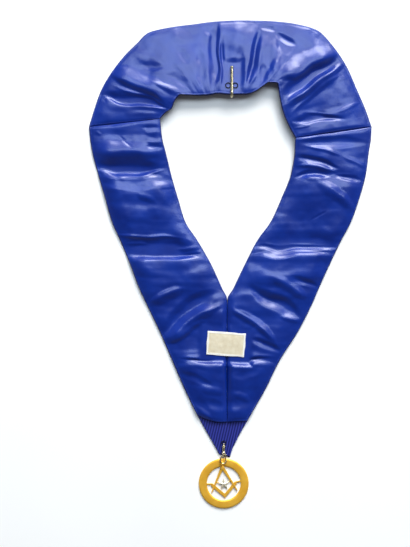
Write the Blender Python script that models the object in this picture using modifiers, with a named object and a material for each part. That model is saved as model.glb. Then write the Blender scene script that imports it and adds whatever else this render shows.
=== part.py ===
# Order collar of ribbed ribbon with a folded leathercloth lining, lying reverse side up.
# A twisted bar and a wire eye sit at the neck, a label below the V, and a swivel clip at the tip
# holds a round pierced jewel. Metres, +Z up, +Y towards the back of the neck.
import math
from collections import namedtuple

import bmesh
import bpy
from mathutils import Matrix, Vector

# Layers, from the surface up
RIBBON_THICK = 0.0010
LINING_THICK = 0.0018
TIP_THICK = 0.0010
LABEL_THICK = 0.0010
GAP = 0.0003
LINING_FLOOR = RIBBON_THICK + GAP
TIP_FLOOR = RIBBON_THICK + GAP
TIP_TOP = TIP_FLOOR + TIP_THICK
MERGE = 0.000001

# Plan of the cloth
EDGE_INSET = 0.0008
SEAM_INSET = 0.00015
SEAM_TRIM = 0.015
LIFT_POWER = 1.6

# Shape of the lining
PAD_RISE = 0.0035
PAD_EDGE = 0.024
SEAM_EDGE = 0.008
SEAM_RISE = 0.002
FOLD_AT_EDGE = 0.4
FOLD_END = 0.15
FLAT_FADE = 0.009
FLAT_AT_EDGE = 0.3
RELIEF_SOFT = 0.0008
TIP_STEP_START = 0.003
TIP_STEP_RUN = 0.016

# Cells of the cloth solids
ROWS_ALONG = 40
LINING_ACROSS = 10
RIBBON_ACROSS = 3
TIP_ROWS = 12
TIP_ACROSS = 4

# One row for each rib of a panel, seam to seam: the outer edge, the inner edge, and how high the
# inner edge stands off the surface
Section = namedtuple("Section", "outer_x outer_y inner_x inner_y lift")

NECK = [
    Section(-0.1913, 0.1860, -0.0944, 0.1961, 0.0080),
    Section(-0.1839, 0.2104, -0.0879, 0.2034, 0.0085),
    Section(-0.1751, 0.2348, -0.0786, 0.2100, 0.0105),
    Section(-0.1629, 0.2565, -0.0751, 0.2186, 0.0130),
    Section(-0.1439, 0.2816, -0.0664, 0.2274, 0.0135),
    Section(-0.1263, 0.2992, -0.0556, 0.2269, 0.0130),
    Section(-0.1105, 0.3137, -0.0449, 0.2265, 0.0125),
    Section(-0.0789, 0.3213, -0.0341, 0.2266, 0.0120),
    Section(-0.0477, 0.3253, -0.0248, 0.2277, 0.0120),
    Section(-0.0179, 0.3290, -0.0167, 0.2290, 0.0125),
    Section(0.0133, 0.3303, 0.0008, 0.2277, 0.0125),
    Section(0.0431, 0.3299, 0.0196, 0.2279, 0.0125),
    Section(0.0729, 0.3279, 0.0329, 0.2316, 0.0130),
    Section(0.0973, 0.3237, 0.0436, 0.2389, 0.0140),
    Section(0.1176, 0.3172, 0.0515, 0.2436, 0.0145),
    Section(0.1406, 0.2938, 0.0623, 0.2428, 0.0145),
    Section(0.1583, 0.2667, 0.0657, 0.2260, 0.0135),
    Section(0.1718, 0.2362, 0.0698, 0.2074, 0.0120),
    Section(0.1827, 0.2111, 0.0780, 0.1873, 0.0100),
    Section(0.1915, 0.1860, 0.0876, 0.1701, 0.0085),
]
# The part of the neck between these shares of its length has ribs that run nearly along Y
NECK_MIDDLE = (0.3, 0.7)
LEFT_ARM = [
    Section(-0.1913, 0.1860, -0.0944, 0.1961, 0.0080),
    Section(-0.1900, 0.1711, -0.0920, 0.1713, 0.0070),
    Section(-0.1866, 0.1508, -0.0867, 0.1500, 0.0045),
    Section(-0.1791, 0.1224, -0.0800, 0.1220, 0.0015),
    Section(-0.1696, 0.0898, -0.0707, 0.0898, 0.0000),
    Section(-0.1602, 0.0573, -0.0606, 0.0573, 0.0000),
    Section(-0.1493, 0.0329, -0.0447, 0.0329, 0.0000),
    Section(-0.1358, 0.0004, -0.0260, 0.0004, 0.0000),
    Section(-0.1236, -0.0321, -0.0111, -0.0321, 0.0000),
    Section(-0.1154, -0.0497, -0.0040, -0.0497, 0.0000),
    Section(-0.0965, -0.0890, -0.0043, -0.0890, 0.0000),
    Section(-0.0789, -0.1297, -0.0046, -0.1297, 0.0000),
    Section(-0.0612, -0.1703, -0.0043, -0.1703, 0.0000),
    Section(-0.0457, -0.2022, -0.0042, -0.2130, 0.0000),
]
RIGHT_ARM = [
    Section(0.1915, 0.1860, 0.0876, 0.1701, 0.0085),
    Section(0.1908, 0.1711, 0.0869, 0.1631, 0.0080),
    Section(0.1881, 0.1535, 0.0867, 0.1512, 0.0065),
    Section(0.1840, 0.1224, 0.0820, 0.1219, 0.0025),
    Section(0.1752, 0.0898, 0.0695, 0.0898, 0.0000),
    Section(0.1637, 0.0573, 0.0546, 0.0573, 0.0000),
    Section(0.1508, 0.0329, 0.0370, 0.0329, 0.0000),
    Section(0.1352, 0.0004, 0.0201, 0.0004, 0.0000),
    Section(0.1203, -0.0321, 0.0045, -0.0321, 0.0000),
    Section(0.1129, -0.0497, -0.0040, -0.0497, 0.0000),
    Section(0.0932, -0.0890, -0.0043, -0.0890, 0.0000),
    Section(0.0675, -0.1297, -0.0046, -0.1297, 0.0000),
    Section(0.0472, -0.1703, -0.0043, -0.1703, 0.0000),
    Section(0.0234, -0.2117, -0.0042, -0.2130, 0.0000),
]
# The ribbons run on below the lining to the tip
LEFT_POINT = [
    Section(-0.0301, -0.2300, -0.0050, -0.2320, 0.0000),
    Section(-0.0179, -0.2516, -0.0065, -0.2520, 0.0000),
    Section(-0.0154, -0.2570, -0.0073, -0.2595, 0.0000),
]
RIGHT_POINT = [
    Section(0.0122, -0.2315, -0.0050, -0.2320, 0.0000),
    Section(0.0024, -0.2516, -0.0065, -0.2520, 0.0000),
    Section(-0.0005, -0.2615, -0.0073, -0.2595, 0.0000),
]
# The ribbed piece at the tip, from its hidden upper edge down: left edge, right edge
TIP = [
    Section(-0.0468, -0.1975, 0.0258, -0.2065, 0.0000),
    Section(-0.0437, -0.2040, 0.0226, -0.2120, 0.0000),
    Section(-0.0294, -0.2300, 0.0115, -0.2315, 0.0000),
    Section(-0.0173, -0.2512, 0.0018, -0.2512, 0.0000),
    Section(-0.0148, -0.2565, -0.0012, -0.2605, 0.0000),
]

# One row for each main fold: where its line starts and ends, its height (negative for a valley),
# how far it spreads to the left and right of that line, and how far the line bows to its left
Fold = namedtuple("Fold", "x0 y0 x1 y1 height left right bow")

FOLDS = [
    # Neck, from the left shoulder round to the right one
    Fold(-0.172, 0.256, -0.068, 0.219, 0.0030, 0.022, 0.014, 0.002),
    Fold(-0.190, 0.236, -0.066, 0.207, -0.0042, 0.016, 0.010, 0.000),
    Fold(-0.095, 0.258, -0.046, 0.235, -0.0025, 0.010, 0.008, 0.000),
    Fold(-0.019, 0.345, -0.021, 0.215, -0.0040, 0.010, 0.009, 0.000),
    Fold(-0.011, 0.322, -0.013, 0.215, 0.0022, 0.007, 0.006, 0.000),
    Fold(0.017, 0.305, 0.018, 0.215, 0.0020, 0.006, 0.008, 0.000),
    Fold(0.046, 0.320, 0.022, 0.228, -0.0035, 0.014, 0.010, 0.004),
    Fold(0.066, 0.300, 0.094, 0.293, -0.0025, 0.012, 0.014, 0.000),
    Fold(0.152, 0.290, 0.060, 0.247, 0.0028, 0.012, 0.022, 0.002),
    Fold(0.160, 0.284, 0.060, 0.212, -0.0044, 0.014, 0.018, -0.004),
    Fold(0.166, 0.268, 0.066, 0.199, 0.0034, 0.014, 0.012, 0.000),
    Fold(0.068, 0.195, 0.170, 0.198, -0.0038, 0.014, 0.008, 0.002),
    # Left arm, from the shoulder down
    Fold(-0.200, 0.151, -0.075, 0.151, 0.0022, 0.018, 0.014, 0.000),
    Fold(-0.195, 0.134, -0.070, 0.132, -0.0036, 0.018, 0.010, -0.003),
    Fold(-0.180, 0.118, -0.070, 0.122, 0.0024, 0.010, 0.016, -0.002),
    Fold(-0.170, 0.022, -0.025, 0.018, -0.0045, 0.036, 0.010, -0.004),
    Fold(-0.160, 0.004, -0.015, 0.010, 0.0028, 0.010, 0.022, -0.005),
    Fold(-0.125, -0.054, -0.052, -0.030, 0.0022, 0.012, 0.014, 0.000),
    Fold(-0.105, -0.104, -0.010, -0.032, -0.0038, 0.016, 0.016, 0.006),
    Fold(-0.104, -0.110, -0.008, -0.052, 0.0030, 0.014, 0.014, 0.004),
    # Right arm, from the shoulder down
    Fold(0.080, 0.161, 0.200, 0.158, -0.0040, 0.012, 0.010, 0.000),
    Fold(0.080, 0.137, 0.160, 0.128, -0.0024, 0.012, 0.008, 0.000),
    Fold(0.078, 0.124, 0.180, 0.118, 0.0022, 0.010, 0.012, 0.004),
    Fold(0.110, 0.116, 0.172, 0.070, 0.0020, 0.012, 0.014, 0.006),
    Fold(0.015, 0.028, 0.160, 0.026, -0.0045, 0.034, 0.008, 0.000),
    Fold(0.015, 0.013, 0.150, 0.012, 0.0028, 0.010, 0.022, 0.000),
    Fold(0.052, -0.012, 0.108, -0.052, 0.0020, 0.010, 0.012, 0.002),
    Fold(0.020, -0.026, 0.110, -0.080, -0.0042, 0.014, 0.016, 0.003),
    Fold(-0.004, -0.050, 0.068, -0.112, 0.0030, 0.012, 0.012, 0.003),
    # Both arms, below the label
    Fold(-0.095, -0.126, 0.085, -0.130, 0.0018, 0.010, 0.014, -0.003),
]

# Flat places in the lining, under the pieces sewn on it
Flat = namedtuple("Flat", "x y half_x half_y turn rise")
LABEL_CENTRE = (-0.0058, -0.1077)
LABEL_SIZE = (0.0520, 0.0320)
LABEL_TURN = math.radians(-4.2)
LABEL_RISE = 0.0034
BAR_X = 0.0020
BAR_TOP_Y = 0.2613
BAR_LOW_Y = 0.2293
BAR_RISE = 0.0016
FLATS = [
    Flat(*LABEL_CENTRE, 0.031, 0.021, LABEL_TURN, LABEL_RISE),
    Flat(BAR_X, 0.244, 0.0095, 0.026, 0.0, BAR_RISE),
]

# Neck bar: its corners' reach, its whole turns of twist, the ball on top and the bent foot
BAR_CORNER = 0.0019
BAR_TURNS = 5
BAR_STEP = math.radians(30)
BAR_BALL = 0.0021
BALL_SINK = 0.0006
FOOT_RADIUS = 0.0050
FOOT_BEND = math.radians(75)
FOOT_STEPS = 8

# Neck eye: two rings and the wire between them, under the bar
EYE_WIRE = 0.00055
EYE_LINK_WIRE = 0.00045
EYE_RING = 0.0034
EYE_Y = 0.2399
EYE_LEFT_X = -0.0030
EYE_RIGHT_X = 0.0065

# Clip: its long axis runs along Y over the tip
CLIP_X = -0.0088
CLIP_Z = 0.0051
KNOB_Y = -0.2456
KNOB_RADIUS = 0.0025
KNOB_HALF = 0.0013
KNOB_ROWS = 6
KNOB_FLATTEN = 0.7
RING_MAJOR = 0.0020
RING_WIRE = 0.0005
RING_Y = -0.2436
STUD_RADIUS = 0.0009
STUD_END_Y = -0.2502
BORE_RADIUS = 0.0012
BORE_END_Y = -0.2507
BARREL_TOP_Y = -0.2472
# Barrel, from its mouth down: distance from the mouth, radius
BARREL = [
    (0.0000, 0.0017),
    (0.0003, 0.0020),
    (0.0012, 0.0020),
    (0.0018, 0.0016),
    (0.0060, 0.0018),
    (0.0066, 0.00225),
    (0.0082, 0.0023),
    (0.0092, 0.0018),
    (0.0100, 0.0010),
]
# Hook wire, from inside the barrel round to the nose that the lever closes on
HOOK_WIRE = 0.00095
HOOK_SPAN_POINTS = 3
HOOK = [
    (CLIP_X, -0.2560),
    (-0.0098, -0.2583),
    (-0.0122, -0.2605),
    (-0.0135, -0.2635),
    (-0.0130, -0.2667),
    (-0.0109, -0.2690),
    (-0.0082, -0.2690),
    (-0.0062, -0.2673),
    (-0.0056, -0.2655),
]
LEVER_PIVOT = (-0.0070, -0.2590)
LEVER_TIP = (-0.0056, -0.2643)
LEVER_WIRE = 0.00075
LEVER_ROOT = 0.22
LEVER_EYE = 0.0013
LEVER_EYE_HALF = 0.0006
LEVER_BORE = 0.00075
PIN_RADIUS = 0.00045
PIN_IN_EAR = 0.0004
EAR_THICK = 0.0006
EAR_BACK = 0.0024

# Black loop at the tip, leaning from the ribbon up to the clip's ring
LOOP_MAJOR = 0.0026
LOOP_WIRE = 0.0005
LOOP_TILT = math.radians(30)
LOOP_Y = -0.2412

# Rings of wire: points round the ring and round its wire
RING_AROUND = 16
RING_SIDES = 8

# Jewel
JEWEL_CENTRE = (-0.0087, -0.2966)
JEWEL_TURN = math.radians(5)
JEWEL_OUTER = 0.0337
JEWEL_INNER = 0.0230
JEWEL_THICK = 0.0024
JEWEL_BEVEL = 0.0007
JEWEL_SIDES = 44
JEWEL_LOOP_Y = 0.0281
JEWEL_LOOP_MAJOR = 0.0032
JEWEL_LOOP_WIRE = 0.00065
JEWEL_LOOP_SUNK = 0.0008
# One row for each flat bar across the jewel, in its own frame: its two ends, its half width at
# each, and the heights of its two faces
Bar = namedtuple("Bar", "name x0 y0 x1 y1 half_start half_end low high")
JEWEL_BARS = [
    Bar("left leg", -0.0016, 0.0192, -0.0131, -0.0030, 0.0019, 0.0013, 0.00040, 0.00200),
    Bar("right leg", 0.0016, 0.0192, 0.0131, -0.0030, 0.0019, 0.0013, 0.00060, 0.00220),
    Bar("left arm", 0.0014, -0.0182, -0.0162, -0.0006, 0.0020, 0.0020, 0.00025, 0.00160),
    Bar("right arm", -0.0014, -0.0182, 0.0162, -0.0006, 0.0020, 0.0020, 0.00035, 0.00180),
    Bar("left tab", -0.0150, 0.0002, -0.0236, 0.0010, 0.0009, 0.0009, 0.00043, 0.00148),
    Bar("right tab", 0.0150, 0.0002, 0.0236, 0.0010, 0.0009, 0.0009, 0.00047, 0.00152),
    Bar("star strut", -0.0108, 0.00155, 0.0108, 0.00155, 0.00045, 0.00045, 0.00066, 0.00130),
]
# Compass head: height, radius
HEAD = [(0.00035, 0.0030), (0.0022, 0.0030), (0.0026, 0.0024)]
HEAD_Y = 0.0206
STAR_POINT = 0.0079
STAR_NOTCH = 0.0032
STAR_Y = -0.0008
STAR_LOW = 0.00058
STAR_HIGH = 0.00190


# Scene and materials

def clear_scene():
    for item in list(bpy.data.objects):
        bpy.data.objects.remove(item, do_unlink=True)


def new_collection(name):
    group = bpy.data.collections.new(name)
    bpy.context.scene.collection.children.link(group)
    return group


def make_material(name, colour, roughness, metallic=0.0):
    material = bpy.data.materials.new(name)
    material.use_nodes = True
    shader = material.node_tree.nodes["Principled BSDF"]
    shader.inputs["Base Color"].default_value = (*colour, 1.0)
    shader.inputs["Roughness"].default_value = roughness
    shader.inputs["Metallic"].default_value = metallic
    return material


def add_object(name, mesh, group, material=None):
    item = bpy.data.objects.new(name, mesh)
    group.objects.link(item)
    if material is not None:
        mesh.materials.append(material)
    return item


def mesh_from(bm, name):
    bmesh.ops.recalc_face_normals(bm, faces=bm.faces)
    mesh = bpy.data.meshes.new(name)
    bm.to_mesh(mesh)
    bm.free()
    return mesh


def shade_round(item, degrees=40):
    item.data.shade_smooth()
    item.data.set_sharp_from_angle(angle=math.radians(degrees))


# Curves through the tables

def smooth_step(value):
    value = min(max(value, 0.0), 1.0)
    return value * value * (3.0 - 2.0 * value)


def slopes(values):
    """Tangents of a smooth curve through values that never overshoots them."""
    steps = [b - a for a, b in zip(values, values[1:])]
    inner = [0.0 if a * b <= 0.0 else 2.0 * a * b / (a + b) for a, b in zip(steps, steps[1:])]
    return [steps[0], *inner, steps[-1]]


class Panel:
    """A cloth panel between an outer and an inner edge, given by its sections."""

    def __init__(self, sections):
        self.columns = list(zip(*sections))
        self.slopes = [slopes(column) for column in self.columns]
        self.spans = len(sections) - 1

    def section(self, along):
        place = min(max(along, 0.0), 1.0) * self.spans
        i = min(int(place), self.spans - 1)
        t = place - i
        weights = (
            (1 + 2 * t) * (1 - t) ** 2,
            t * (1 - t) ** 2,
            t * t * (3 - 2 * t),
            t * t * (t - 1),
        )
        return Section(*(
            weights[0] * column[i] + weights[1] * slope[i]
            + weights[2] * column[i + 1] + weights[3] * slope[i + 1]
            for column, slope in zip(self.columns, self.slopes)
        ))

    def point(self, along, across):
        """The place at these shares of the way along and across, and the panel's lift there."""
        row = self.section(along)
        x = row.outer_x + (row.inner_x - row.outer_x) * across
        y = row.outer_y + (row.inner_y - row.outer_y) * across
        return x, y, row.lift * across ** LIFT_POWER

    def width(self, along):
        row = self.section(along)
        return math.hypot(row.inner_x - row.outer_x, row.inner_y - row.outer_y)

    def length(self):
        first, last = self.section(0.0), self.section(1.0)
        middle = self.section(0.5)
        centres = [
            Vector(((row.outer_x + row.inner_x) / 2, (row.outer_y + row.inner_y) / 2))
            for row in (first, middle, last)
        ]
        return (centres[1] - centres[0]).length + (centres[2] - centres[1]).length


# Height of the lining over the ribbon

def fold_height(fold, x, y):
    run_x = fold.x1 - fold.x0
    run_y = fold.y1 - fold.y0
    length = math.hypot(run_x, run_y)
    share = ((x - fold.x0) * run_x + (y - fold.y0) * run_y) / length ** 2
    if not 0.0 < share < 1.0:
        return 0.0
    off = ((y - fold.y0) * run_x - (x - fold.x0) * run_y) / length
    off -= fold.bow * 4.0 * share * (1.0 - share)
    part = off / (fold.left if off > 0.0 else fold.right)
    if abs(part) >= 1.0:
        return 0.0
    ends = smooth_step(min(share, 1.0 - share) / FOLD_END)
    return fold.height * (1.0 - part * part) ** 2 * ends


def rounded(distance, reach):
    """Rises from 0 at an edge to 1 at reach from it, as a padded edge does."""
    part = min(max(distance / reach, 0.0), 1.0)
    return 1.0 - (1.0 - part) ** 2


def flat_share(flat, x, y):
    """1 on a flat place, 0 well outside it."""
    dx = x - flat.x
    dy = y - flat.y
    along = abs(dx * math.cos(flat.turn) + dy * math.sin(flat.turn)) - flat.half_x
    across = abs(dy * math.cos(flat.turn) - dx * math.sin(flat.turn)) - flat.half_y
    return 1.0 - smooth_step(max(along, across, 0.0) / FLAT_FADE)


def relief(x, y, edges):
    """How far the lining stands off the ribbon, never less than nothing."""
    height = PAD_RISE * edges
    height += sum(fold_height(fold, x, y) for fold in FOLDS) * (
        FOLD_AT_EDGE + (1.0 - FOLD_AT_EDGE) * edges
    )
    for flat in FLATS:
        share = flat_share(flat, x, y)
        height += (flat.rise * min(1.0, FLAT_AT_EDGE + edges) - height) * share
    return (height + math.hypot(height, RELIEF_SOFT)) / 2


def over_tip(x, y):
    """How far the lining steps up over the hidden upper edge of the tip's ribbed piece."""
    top = TIP[0]
    share = (x - top.outer_x) / (top.inner_x - top.outer_x)
    edge_y = top.outer_y + share * (top.inner_y - top.outer_y)
    past = (y - edge_y - TIP_STEP_START) / TIP_STEP_RUN
    return (TIP_THICK + GAP) * (1.0 - smooth_step(past))


def lining_under(panel, along, across, steps_over_tip):
    x, y, lift = panel.point(along, across)
    width = panel.width(along)
    length = panel.length()
    edges = rounded(across * width, PAD_EDGE) * rounded((1 - across) * width, PAD_EDGE)
    edges *= rounded(along * length + SEAM_RISE, SEAM_EDGE)
    edges *= rounded((1 - along) * length + SEAM_RISE, SEAM_EDGE)
    step = over_tip(x, y) if steps_over_tip else 0.0
    return Vector((x, y, lift + LINING_FLOOR + step + relief(x, y, edges)))


# Cloth solids

def cloth_solid(name, point_at, thickness, rows, across, group, material):
    """A grid of points, thickened straight up into a closed solid."""
    bm = bmesh.new()
    bmesh.ops.create_grid(bm, x_segments=rows, y_segments=across, size=0.5)
    for vertex in bm.verts:
        vertex.co = point_at(vertex.co.x + 0.5, vertex.co.y + 0.5)
    made = bmesh.ops.extrude_face_region(bm, geom=list(bm.faces), use_keep_orig=True)
    raised = [item for item in made["geom"] if isinstance(item, bmesh.types.BMVert)]
    bmesh.ops.translate(bm, verts=raised, vec=(0.0, 0.0, thickness))
    item = add_object(name, mesh_from(bm, name), group, material)
    shade_round(item)
    return item


def trimmed(share, start, end):
    return start + share * (1.0 - start - end)


def make_lining(name, sections, over_the_tip, group, material):
    panel = Panel(sections)

    def point_at(along, across):
        end_trim = 0.0 if over_the_tip else SEAM_TRIM / panel.spans
        place = trimmed(along, SEAM_TRIM / panel.spans, end_trim)
        width = panel.width(place)
        inner = SEAM_INSET * 2 if over_the_tip else EDGE_INSET
        return lining_under(
            panel, place, trimmed(across, EDGE_INSET / width, inner / width), over_the_tip
        )

    return cloth_solid(
        name, point_at, LINING_THICK, ROWS_ALONG, LINING_ACROSS, group, material
    )


def make_ribbon(name, sections, to_the_tip, group, material):
    panel = Panel(sections)

    def point_at(along, across):
        end_trim = 0.0 if to_the_tip else SEAM_TRIM / panel.spans
        place = trimmed(along, SEAM_TRIM / panel.spans, end_trim)
        inner = SEAM_INSET if to_the_tip else 0.0
        return Vector(panel.point(place, trimmed(across, 0.0, inner / panel.width(place))))

    return cloth_solid(
        name, point_at, RIBBON_THICK, ROWS_ALONG, RIBBON_ACROSS, group, material
    )


def make_tip_ribbon(group, material):
    panel = Panel(TIP)

    def point_at(along, across):
        x, y, _ = panel.point(along, across)
        return Vector((x, y, TIP_FLOOR))

    return cloth_solid(
        "tip_ribbon", point_at, TIP_THICK, TIP_ROWS, TIP_ACROSS, group, material
    )


def make_label(group, material):
    bm = bmesh.new()
    bmesh.ops.create_cube(bm, size=1.0, matrix=Matrix.Diagonal((*LABEL_SIZE, LABEL_THICK, 1.0)))
    mesh = mesh_from(bm, "label")
    item = add_object("label", mesh, group, material)
    top = LINING_FLOOR + LINING_THICK + LABEL_RISE
    item.location = (*LABEL_CENTRE, top + 2 * GAP + LABEL_THICK / 2)
    item.rotation_euler = (0.0, 0.0, LABEL_TURN)
    bevel = item.modifiers.new("rounded corners", "BEVEL")
    bevel.width = LABEL_THICK * 0.25
    bevel.segments = 1
    return item


# Helpers for the metal

def mesh_of_curve(curve, group):
    """The curve's solid as a mesh, with its caps welded on."""
    rough = bpy.data.objects.new(curve.name, curve)
    group.objects.link(rough)
    bpy.context.view_layer.update()
    depsgraph = bpy.context.evaluated_depsgraph_get()
    mesh = bpy.data.meshes.new_from_object(rough.evaluated_get(depsgraph))
    bm = bmesh.new()
    bm.from_mesh(mesh)
    bmesh.ops.remove_doubles(bm, verts=bm.verts, dist=MERGE)
    bmesh.ops.recalc_face_normals(bm, faces=bm.faces)
    bm.to_mesh(mesh)
    bm.free()
    bpy.data.objects.remove(rough, do_unlink=True)
    bpy.data.curves.remove(curve)
    return mesh


def new_curve(name, points, dimensions, cyclic=False):
    curve = bpy.data.curves.new(name, "CURVE")
    curve.dimensions = dimensions
    spline = curve.splines.new("POLY")
    spline.points.add(len(points) - 1)
    for target, point in zip(spline.points, points):
        target.co = (*point, 1.0)
    spline.use_cyclic_u = cyclic
    return curve


def wire(name, points, radius, group):
    """A round wire through the points."""
    curve = new_curve(name, points, "3D")
    curve.bevel_depth = radius
    curve.bevel_resolution = 2
    curve.use_fill_caps = True
    return add_object(name, mesh_of_curve(curve, group), group)


def plate(name, outline, low, high, group, matrix):
    """A flat outline with faces at two heights, placed by matrix."""
    curve = new_curve(name, [(x, y, 0.0) for x, y in outline], "2D", cyclic=True)
    curve.fill_mode = "BOTH"
    curve.extrude = (high - low) / 2
    item = add_object(name, mesh_of_curve(curve, group), group)
    item.matrix_world = matrix @ Matrix.Translation((0.0, 0.0, (low + high) / 2))
    return item


def turned(name, rows, group, matrix, sides=16, closed=False):
    """A shape turned about its own Z axis from rows of height and radius, from the bottom up."""
    bm = bmesh.new()
    profile = [bm.verts.new((radius, 0.0, height)) for height, radius in reversed(rows)]
    for start, end in zip(profile, profile[1:]):
        bm.edges.new((start, end))
    if closed:
        bm.edges.new((profile[-1], profile[0]))
    mesh = bpy.data.meshes.new(name)
    bm.to_mesh(mesh)
    bm.free()
    item = add_object(name, mesh, group)
    item.matrix_world = matrix
    screw = item.modifiers.new("turned", "SCREW")
    screw.steps = sides
    screw.render_steps = sides
    screw.use_merge_vertices = True
    screw.merge_threshold = MERGE
    return item


def with_ends(rows):
    """Rows of height and radius, closed on the axis at both ends."""
    return [(rows[0][0], 0.0), *rows, (rows[-1][0], 0.0)]


def rod(name, radius, low, high, group, matrix, sides=12):
    """A cylinder about its own Z axis between two heights."""
    bm = bmesh.new()
    bmesh.ops.create_cone(
        bm, cap_ends=True, segments=sides, radius1=radius, radius2=radius, depth=high - low,
        matrix=Matrix.Translation((0.0, 0.0, (low + high) / 2)),
    )
    item = add_object(name, mesh_from(bm, name), group)
    item.matrix_world = matrix
    return item


def torus(name, major, minor, group, matrix):
    """A ring of round wire in its own XY plane."""
    bpy.ops.mesh.primitive_torus_add(
        major_radius=major, minor_radius=minor,
        major_segments=RING_AROUND, minor_segments=RING_SIDES,
    )
    item = bpy.context.object
    item.name = name
    move_to(item, group)
    item.matrix_world = matrix
    return item


def move_to(item, group):
    for owner in list(item.users_collection):
        owner.objects.unlink(item)
    group.objects.link(item)


def boolean(target, other, operation, cutters):
    modifier = target.modifiers.new(f"{operation.lower()} {other.name}", "BOOLEAN")
    modifier.operation = operation
    modifier.solver = "EXACT"
    modifier.object = other
    move_to(other, cutters)
    other.hide_render = True
    other.display_type = "WIRE"


def along_y(x, y, z):
    """Places a turned shape's own Z axis along -Y, from this point."""
    return Matrix.Translation((x, y, z)) @ Matrix.Rotation(math.radians(90), 4, "X")


def through(points, per_span):
    """Points along a smooth open curve through the given ones."""
    result = []
    ends = [points[0], *points, points[-1]]
    for i in range(len(points) - 1):
        p0, p1, p2, p3 = (Vector(p) for p in ends[i:i + 4])
        for k in range(per_span):
            t = k / per_span
            result.append(
                0.5 * ((2 * p1) + (p2 - p0) * t + (2 * p0 - 5 * p1 + 4 * p2 - p3) * t ** 2
                       + (3 * p1 - p0 - 3 * p2 + p3) * t ** 3)
            )
    result.append(Vector(points[-1]))
    return result


# Neck bar and eye

def neck_top(panel, x, y):
    """The lining's upper side at a place in the middle of the neck."""
    low, high = NECK_MIDDLE
    for _ in range(30):
        along = (low + high) / 2
        row = panel.section(along)
        across = (y - row.outer_y) / (row.inner_y - row.outer_y)
        if row.outer_x + (row.inner_x - row.outer_x) * across < x:
            low = along
        else:
            high = along
    return lining_under(panel, along, across, False) + Vector((0.0, 0.0, LINING_THICK))


def neck_line():
    """The line on the lining under the bar: its lower point, its direction, and the way up."""
    panel = Panel(NECK)
    low = neck_top(panel, BAR_X, BAR_LOW_Y)
    direction = (neck_top(panel, BAR_X, BAR_TOP_Y) - low).normalized()
    return low, direction, Vector((1.0, 0.0, 0.0)).cross(direction)


def make_neck_bar(group, cutters, material):
    """A square bar twisted along its length, its foot bent down, with a ball on top."""
    low, direction, up = neck_line()
    base = low + up * (3 * GAP + 2 * EYE_WIRE + BAR_CORNER)
    length = (BAR_TOP_Y - BAR_LOW_Y) / direction.y
    path = []
    for i in range(FOOT_STEPS):
        bend = FOOT_BEND * (1.0 - i / FOOT_STEPS)
        path.append(
            base - direction * FOOT_RADIUS * math.sin(bend)
            - up * FOOT_RADIUS * (1.0 - math.cos(bend))
        )
    steps = round(BAR_TURNS * math.tau / BAR_STEP)
    path += [base + direction * length * i / steps for i in range(steps + 1)]

    corners = [
        (BAR_CORNER * math.cos(math.tau * k / 4), BAR_CORNER * math.sin(math.tau * k / 4), 0.0)
        for k in range(4)
    ]
    square = bpy.data.objects.new("bar section", new_curve("bar section", corners, "2D", True))
    cutters.objects.link(square)
    square.hide_render = True
    square.display_type = "WIRE"

    curve = new_curve("neck_bar", path, "3D")
    curve.bevel_mode = "OBJECT"
    curve.bevel_object = square
    curve.use_fill_caps = True
    for i, point in enumerate(curve.splines[0].points):
        point.tilt = i * BAR_STEP
    item = add_object("neck_bar", mesh_of_curve(curve, group), group, material)

    bm = bmesh.new()
    bmesh.ops.create_uvsphere(bm, u_segments=10, v_segments=6, radius=BAR_BALL)
    ball = add_object("bar ball", mesh_from(bm, "bar ball"), group)
    ball.location = path[-1] + direction * (BAR_BALL - BALL_SINK)
    boolean(item, ball, "UNION", cutters)
    return item


def make_neck_eye(group, cutters, material):
    """Two flat rings of black wire joined by a short wire that passes under the bar."""
    low, direction, up = neck_line()
    middle = low + direction * (EYE_Y - BAR_LOW_Y) / direction.y + up * (2 * GAP + EYE_WIRE)
    frame = Matrix.Translation(middle) @ direction.to_track_quat("Y", "Z").to_matrix().to_4x4()
    left_x = EYE_LEFT_X - BAR_X
    right_x = EYE_RIGHT_X - BAR_X
    left = torus(
        "neck_eye", EYE_RING, EYE_WIRE, group, frame @ Matrix.Translation((left_x, 0.0, 0.0))
    )
    left.data.materials.append(material)
    right = torus(
        "right ring", EYE_RING, EYE_WIRE, group, frame @ Matrix.Translation((right_x, 0.0, 0.0))
    )
    ends = [frame @ Vector((x, 0.0, 0.0)) for x in (left_x + EYE_RING, right_x - EYE_RING)]
    link = wire("link wire", ends, EYE_LINK_WIRE, group)
    boolean(left, right, "UNION", cutters)
    boolean(left, link, "UNION", cutters)
    shade_round(left, 60)
    return left


# Loop and clip at the tip

def make_tip_loop(group, material):
    height = TIP_TOP + GAP + LOOP_WIRE + LOOP_MAJOR * math.sin(LOOP_TILT)
    matrix = Matrix.Translation((CLIP_X, LOOP_Y, height)) @ Matrix.Rotation(-LOOP_TILT, 4, "X")
    item = torus("tip_loop", LOOP_MAJOR, LOOP_WIRE, group, matrix)
    item.data.materials.append(material)
    shade_round(item, 60)
    return item


def make_clip_eye(group, cutters, material):
    """A knob with a ring on one side and the swivel's stud on the other."""
    knob_rows = []
    for k in range(KNOB_ROWS + 1):
        turn = math.pi * k / KNOB_ROWS
        radius = KNOB_RADIUS * math.sin(turn) ** KNOB_FLATTEN if 0 < k < KNOB_ROWS else 0.0
        knob_rows.append((-KNOB_HALF * math.cos(turn), radius))
    place = along_y(CLIP_X, KNOB_Y, CLIP_Z)
    knob = turned("clip_eye", knob_rows, group, place)
    knob.data.materials.append(material)
    upright = Matrix.Translation((CLIP_X, RING_Y, CLIP_Z)) @ Matrix.Rotation(
        math.radians(90), 4, "Y"
    )
    ring = torus("clip ring", RING_MAJOR, RING_WIRE, group, upright)
    stud = rod("stud", STUD_RADIUS, 0.0, KNOB_Y - STUD_END_Y, group, place)
    boolean(knob, ring, "UNION", cutters)
    boolean(knob, stud, "UNION", cutters)
    return knob


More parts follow.
